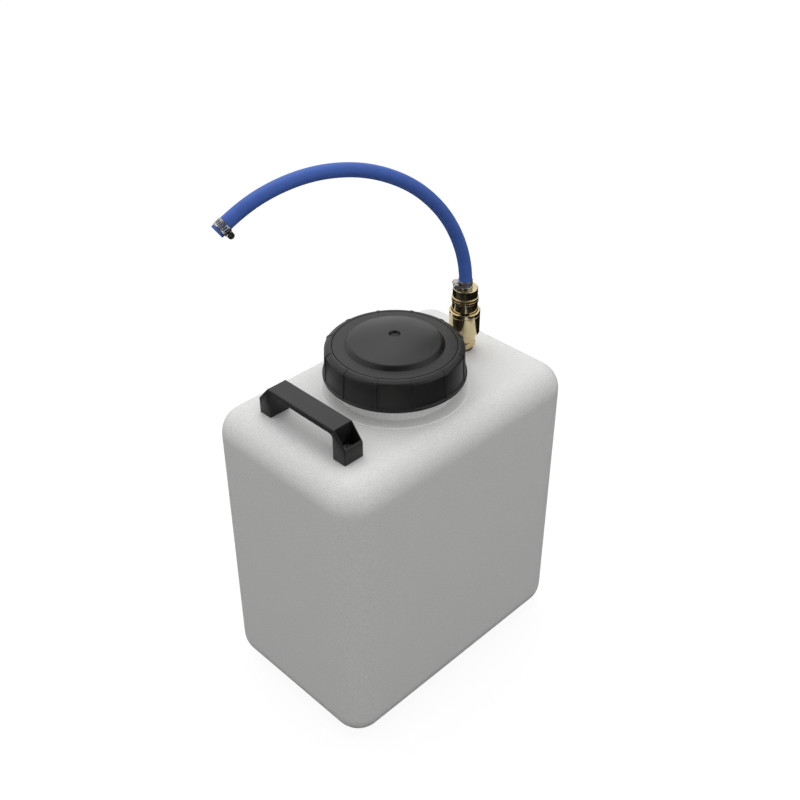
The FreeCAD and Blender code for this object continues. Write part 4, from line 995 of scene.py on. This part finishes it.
# %% Plastics and rubbers
PLASTICS = {
    "tank_plastic": dict(
        tones=((0.74, 0.74, 0.725), (0.92, 0.92, 0.91)),
        patches=900.0,
        roughness=(0.46, 0.62),
        grain_scale=1100.0,
        depth=0.0003,
        Subsurface_Weight=0.2,
        Subsurface_Scale=0.006,
        Subsurface_Radius=(1.0, 1.0, 0.9),
        Specular_IOR_Level=0.35,
    ),
    "black_moulding": dict(
        tones=((0.006, 0.006, 0.0056), (0.010, 0.010, 0.0092)),
        patches=30.0,
        roughness=(0.38, 0.46),
        grain_scale=2600.0,
        depth=0.00004,
        Specular_IOR_Level=0.42,
    ),
    "black_handle": dict(
        tones=((0.006, 0.006, 0.0056), (0.010, 0.010, 0.0092)),
        patches=40.0,
        roughness=(0.36, 0.44),
        grain_scale=2200.0,
        depth=0.00004,
        Specular_IOR_Level=0.42,
    ),
    "seal_rubber": dict(
        tones=((0.030, 0.030, 0.030), (0.045, 0.045, 0.044)),
        patches=60.0,
        roughness=(0.65, 0.8),
        grain_scale=3000.0,
        depth=0.00003,
    ),
    "tube_plastic": dict(
        tones=((0.76, 0.77, 0.76), (0.84, 0.85, 0.84)),
        patches=25.0,
        roughness=(0.35, 0.5),
        grain_scale=3000.0,
        depth=0.00002,
    ),
    "strainer_plastic": dict(
        tones=((0.10, 0.14, 0.27), (0.13, 0.18, 0.33)),
        patches=60.0,
        roughness=(0.4, 0.55),
        grain_scale=3000.0,
        depth=0.00003,
    ),
    "valve_plastic": dict(
        tones=((0.72, 0.71, 0.65), (0.78, 0.77, 0.71)),
        patches=80.0,
        roughness=(0.35, 0.5),
        grain_scale=3000.0,
        depth=0.00002,
    ),
}
FINISH = {name: moulded(name, **values) for name, values in PLASTICS.items()}
print("plastics", list(PLASTICS))

# %% [markdown]
# ## Blue hose
# Drinking-water hose is soft plastic over a braid, which shows through as the faintest relief. A
# pattern on plain coordinates would cross the bend at odd angles. This one reads the distance along
# the hose and the turn round it, two attributes that the surface stored, so it bends with the hose.

# %% Blue hose
HOSE_TONES, HOSE_PATCHES = ((0.053, 0.127, 0.466), (0.065, 0.150, 0.532)), 70.0
HOSE_ROUGHNESS, HOSE_GRAIN, HOSE_RELIEF = (0.46, 0.6), 2400.0, 0.00005
BRAID_PER_METRE, BRAID_STARTS, BRAID_SHARE = 260, 8, 0.25


def hose_finish():
    """Matt blue with two sets of crossing lines: height = max sin(2 pi (rows d + or - starts a)) of
    the distance d and the turn a."""
    made, shader, place = new_finish("hose_blue", Specular_IOR_Level=0.3)
    add_tone(made, shader, place, HOSE_TONES, HOSE_PATCHES, HOSE_ROUGHNESS)
    tree = made.node_tree
    along = chained(tree, "ShaderNodeAttribute", attribute_name="hose_distance").outputs["Fac"]
    turn = chained(tree, "ShaderNodeAttribute", attribute_name="hose_turn").outputs["Fac"]
    waves = []
    for way in (1.0, -1.0):
        rows = 2 * math.pi * BRAID_PER_METRE
        lines = chained(tree, "ShaderNodeMath", [(0, along), (1, rows)], operation="MULTIPLY")
        starts = way * 2 * math.pi * BRAID_STARTS
        angle = chained(tree, "ShaderNodeMath", [(0, turn), (1, starts)], operation="MULTIPLY")
        phase = chained(
            tree, "ShaderNodeMath", [(0, lines.outputs[0]), (1, angle.outputs[0])], operation="ADD"
        )
        wave = chained(tree, "ShaderNodeMath", [(0, phase.outputs[0])], operation="SINE")
        waves.append(wave.outputs[0])
    braid = chained(tree, "ShaderNodeMath", [(0, waves[0]), (1, waves[1])], operation="MAXIMUM")
    node = use_group(made, grain, [("Vector", place), ("Scale", HOSE_GRAIN)])
    relief = chained(
        tree,
        "ShaderNodeMath",
        [(0, braid.outputs[0]), (1, BRAID_SHARE), (2, node.outputs["Height"])],
        operation="MULTIPLY_ADD",
    )
    add_relief(made, shader, relief.outputs[0], 0.5, HOSE_RELIEF)
    return made


FINISH["hose_blue"] = hose_finish()
print("the hose is", HOSE_TONES)

# %% [markdown]
# ## Metals
# The nipple is plain brass and the coupling is brass under a thin warm plating, both polished, so
# they are smooth and take their look from what they mirror. The clamps are duller stainless steel.

# %% Metals
METALS = {
    "brass": dict(
        tones=((0.76, 0.64, 0.37), (0.64, 0.51, 0.27)),
        patches=90.0,
        roughness=(0.10, 0.20),
        lines=9000.0,
        depth=0.000012,
    ),
    "plated_brass": dict(
        tones=((0.76, 0.65, 0.41), (0.64, 0.53, 0.31)),
        patches=90.0,
        roughness=(0.07, 0.15),
        lines=9000.0,
        depth=0.00001,
    ),
    "stainless": dict(
        tones=((0.50, 0.49, 0.465), (0.38, 0.37, 0.35)),
        patches=160.0,
        roughness=(0.24, 0.38),
        lines=12000.0,
        depth=0.00001,
    ),
    "spring_steel": dict(
        tones=((0.52, 0.52, 0.51), (0.44, 0.44, 0.43)),
        patches=200.0,
        roughness=(0.25, 0.38),
        lines=12000.0,
        depth=0.00001,
    ),
}
FINISH.update({name: machined(name, **values) for name, values in METALS.items()})
print("metals", list(METALS))

# %% Give every piece its finish
slot_of = {entry["node"]: entry["material_slot"] for entry in frame["record"]["subparts"]}
for name, thing in frame["nodes"].items():
    thing.data.materials.clear()
    thing.data.materials.append(FINISH[slot_of[name]])
for thing in bpy.context.scene.objects:
    if thing.type == "MESH" and "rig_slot" in thing:
        thing.data.materials.clear()
        thing.data.materials.append(FINISH[thing["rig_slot"]])
print("finishes", sorted(FINISH))

# %% [markdown]
# ## Studio
# The photograph is lit from above by broad soft light, has dark surroundings below, and is cut out on
# white. So the sky is plain and even, and the floor is white to the camera and to reflections but
# gives back little light, and it keeps a soft shadow. Both read Light Path for that.

# %% Sky
def seen_directly(tree):
    """1 for camera, glossy and transmission rays, 0 for the rays that carry diffuse light."""
    path = tree.nodes.new("ShaderNodeLightPath")
    first = chained(
        tree,
        "ShaderNodeMath",
        [(0, path.outputs["Is Camera Ray"]), (1, path.outputs["Is Glossy Ray"])],
        operation="MAXIMUM",
    )
    second = chained(
        tree,
        "ShaderNodeMath",
        [(0, first.outputs[0]), (1, path.outputs["Is Transmission Ray"])],
        operation="MAXIMUM",
    )
    return second.outputs[0]


SKY_LIGHT = 0.72
world = bpy.data.worlds.new("studio")
world.use_nodes = True
bpy.context.scene.world = world
sky = world.node_tree.nodes["Background"]
sky.inputs["Color"].default_value = (1.0, 1.0, 1.0, 1.0)
strength = chained(
    world.node_tree,
    "ShaderNodeMapRange",
    [("Value", seen_directly(world.node_tree)), ("To Min", SKY_LIGHT), ("To Max", 1.0)],
)
world.node_tree.links.new(strength.outputs["Result"], sky.inputs["Strength"])
print("the sky lights the object at", SKY_LIGHT)


# %% Floor
def flat_panel(name, half, middle, finish, facing=(0.0, 0.0, 1.0)):
    """A square of the stage with its middle at a place and its face turned to a direction."""
    turn = np.array(Vector(facing).to_track_quat("Z", "Y").to_matrix())
    corners = np.array([(-half, -half, 0), (half, -half, 0), (-half, half, 0), (half, half, 0)])
    places = corners @ turn.T + np.array(middle)
    panel = surface(name, places.reshape(2, 2, 3), around=False)
    panel.data.materials.append(finish)
    return panel


FLOOR_TONE, FLOOR_GLOW, FLOOR_HALF, FLOOR_DROP = 0.15, 0.90, 6.0, 0.5 * MM
floor_finish = bpy.data.materials.new("studio_floor")
floor_finish.use_nodes = True
tree = floor_finish.node_tree
tree.nodes.clear()
matt = chained(tree, "ShaderNodeBsdfDiffuse", [("Color", (FLOOR_TONE,) * 3 + (1.0,))])
glow_level = chained(
    tree, "ShaderNodeMath", [(0, seen_directly(tree)), (1, FLOOR_GLOW)], operation="MULTIPLY"
)
glow = chained(tree, "ShaderNodeEmission", [("Strength", glow_level.outputs[0])])
joined = chained(tree, "ShaderNodeAddShader", [(0, matt.outputs[0]), (1, glow.outputs[0])])
chained(tree, "ShaderNodeOutputMaterial", [("Surface", joined.outputs[0])])
flat_panel("studio_floor", FLOOR_HALF, (0.0, 0.0, -FLOOR_DROP), floor_finish)

# %% [markdown]
# ## Cards and lamp
# Polished metal shows what stands round it, so in a white room it looks flat. Dark cards that only
# reflections see put the dark bands into the brass and keep the black lid's sides black, as a
# photographer would. One large soft lamp behind the object lays its light over the tank's top.

# %% Dark cards
card_finish = bpy.data.materials.new("studio_card")
card_finish.use_nodes = True
card_inputs = card_finish.node_tree.nodes["Principled BSDF"].inputs
card_inputs["Base Color"].default_value = (0.01, 0.01, 0.01, 1.0)
card_inputs["Specular IOR Level"].default_value = 0.0
for name, half, middle, facing in (
    ("card_under", 1.2, (0.0, 0.0, 0.0), (0.0, 0.0, 1.0)),
    ("card_in_front", 1.9, (-1.6, -1.6, 1.9), (1.6, 1.6, -1.9)),
    ("card_at_right", 1.1, (1.98, -0.28, 0.15), (-1.98, 0.28, 0.0)),
):
    card = flat_panel(name, half, middle, card_finish, facing)
    card.visible_camera = False
    card.visible_diffuse = False
    card.visible_shadow = False
    card.visible_transmission = False

# %% Lamp
LAMP_PLACE, LAMP_AIM = (0.32, 0.60, 2.00), (0.0, 0.0, 0.25)
LAMP_SIZE, LAMP_POWER = 1.6, 11.6


def soft_lamp(name, place, aim, size, power):
    """A square area lamp at a place, turned to what it aims at."""
    lamp = bpy.data.lights.new(name, "AREA")
    lamp.size = size
    lamp.energy = power
    holder = bpy.data.objects.new(name, lamp)
    bpy.context.collection.objects.link(holder)
    holder.location = place
    holder.rotation_euler = (Vector(aim) - Vector(place)).to_track_quat("-Z", "Y").to_euler()
    print(name, "of", power, "watts at", place)


soft_lamp("soft_box_behind", LAMP_PLACE, LAMP_AIM, LAMP_SIZE, LAMP_POWER)
bpy.context.scene.view_settings.view_transform = "Standard"
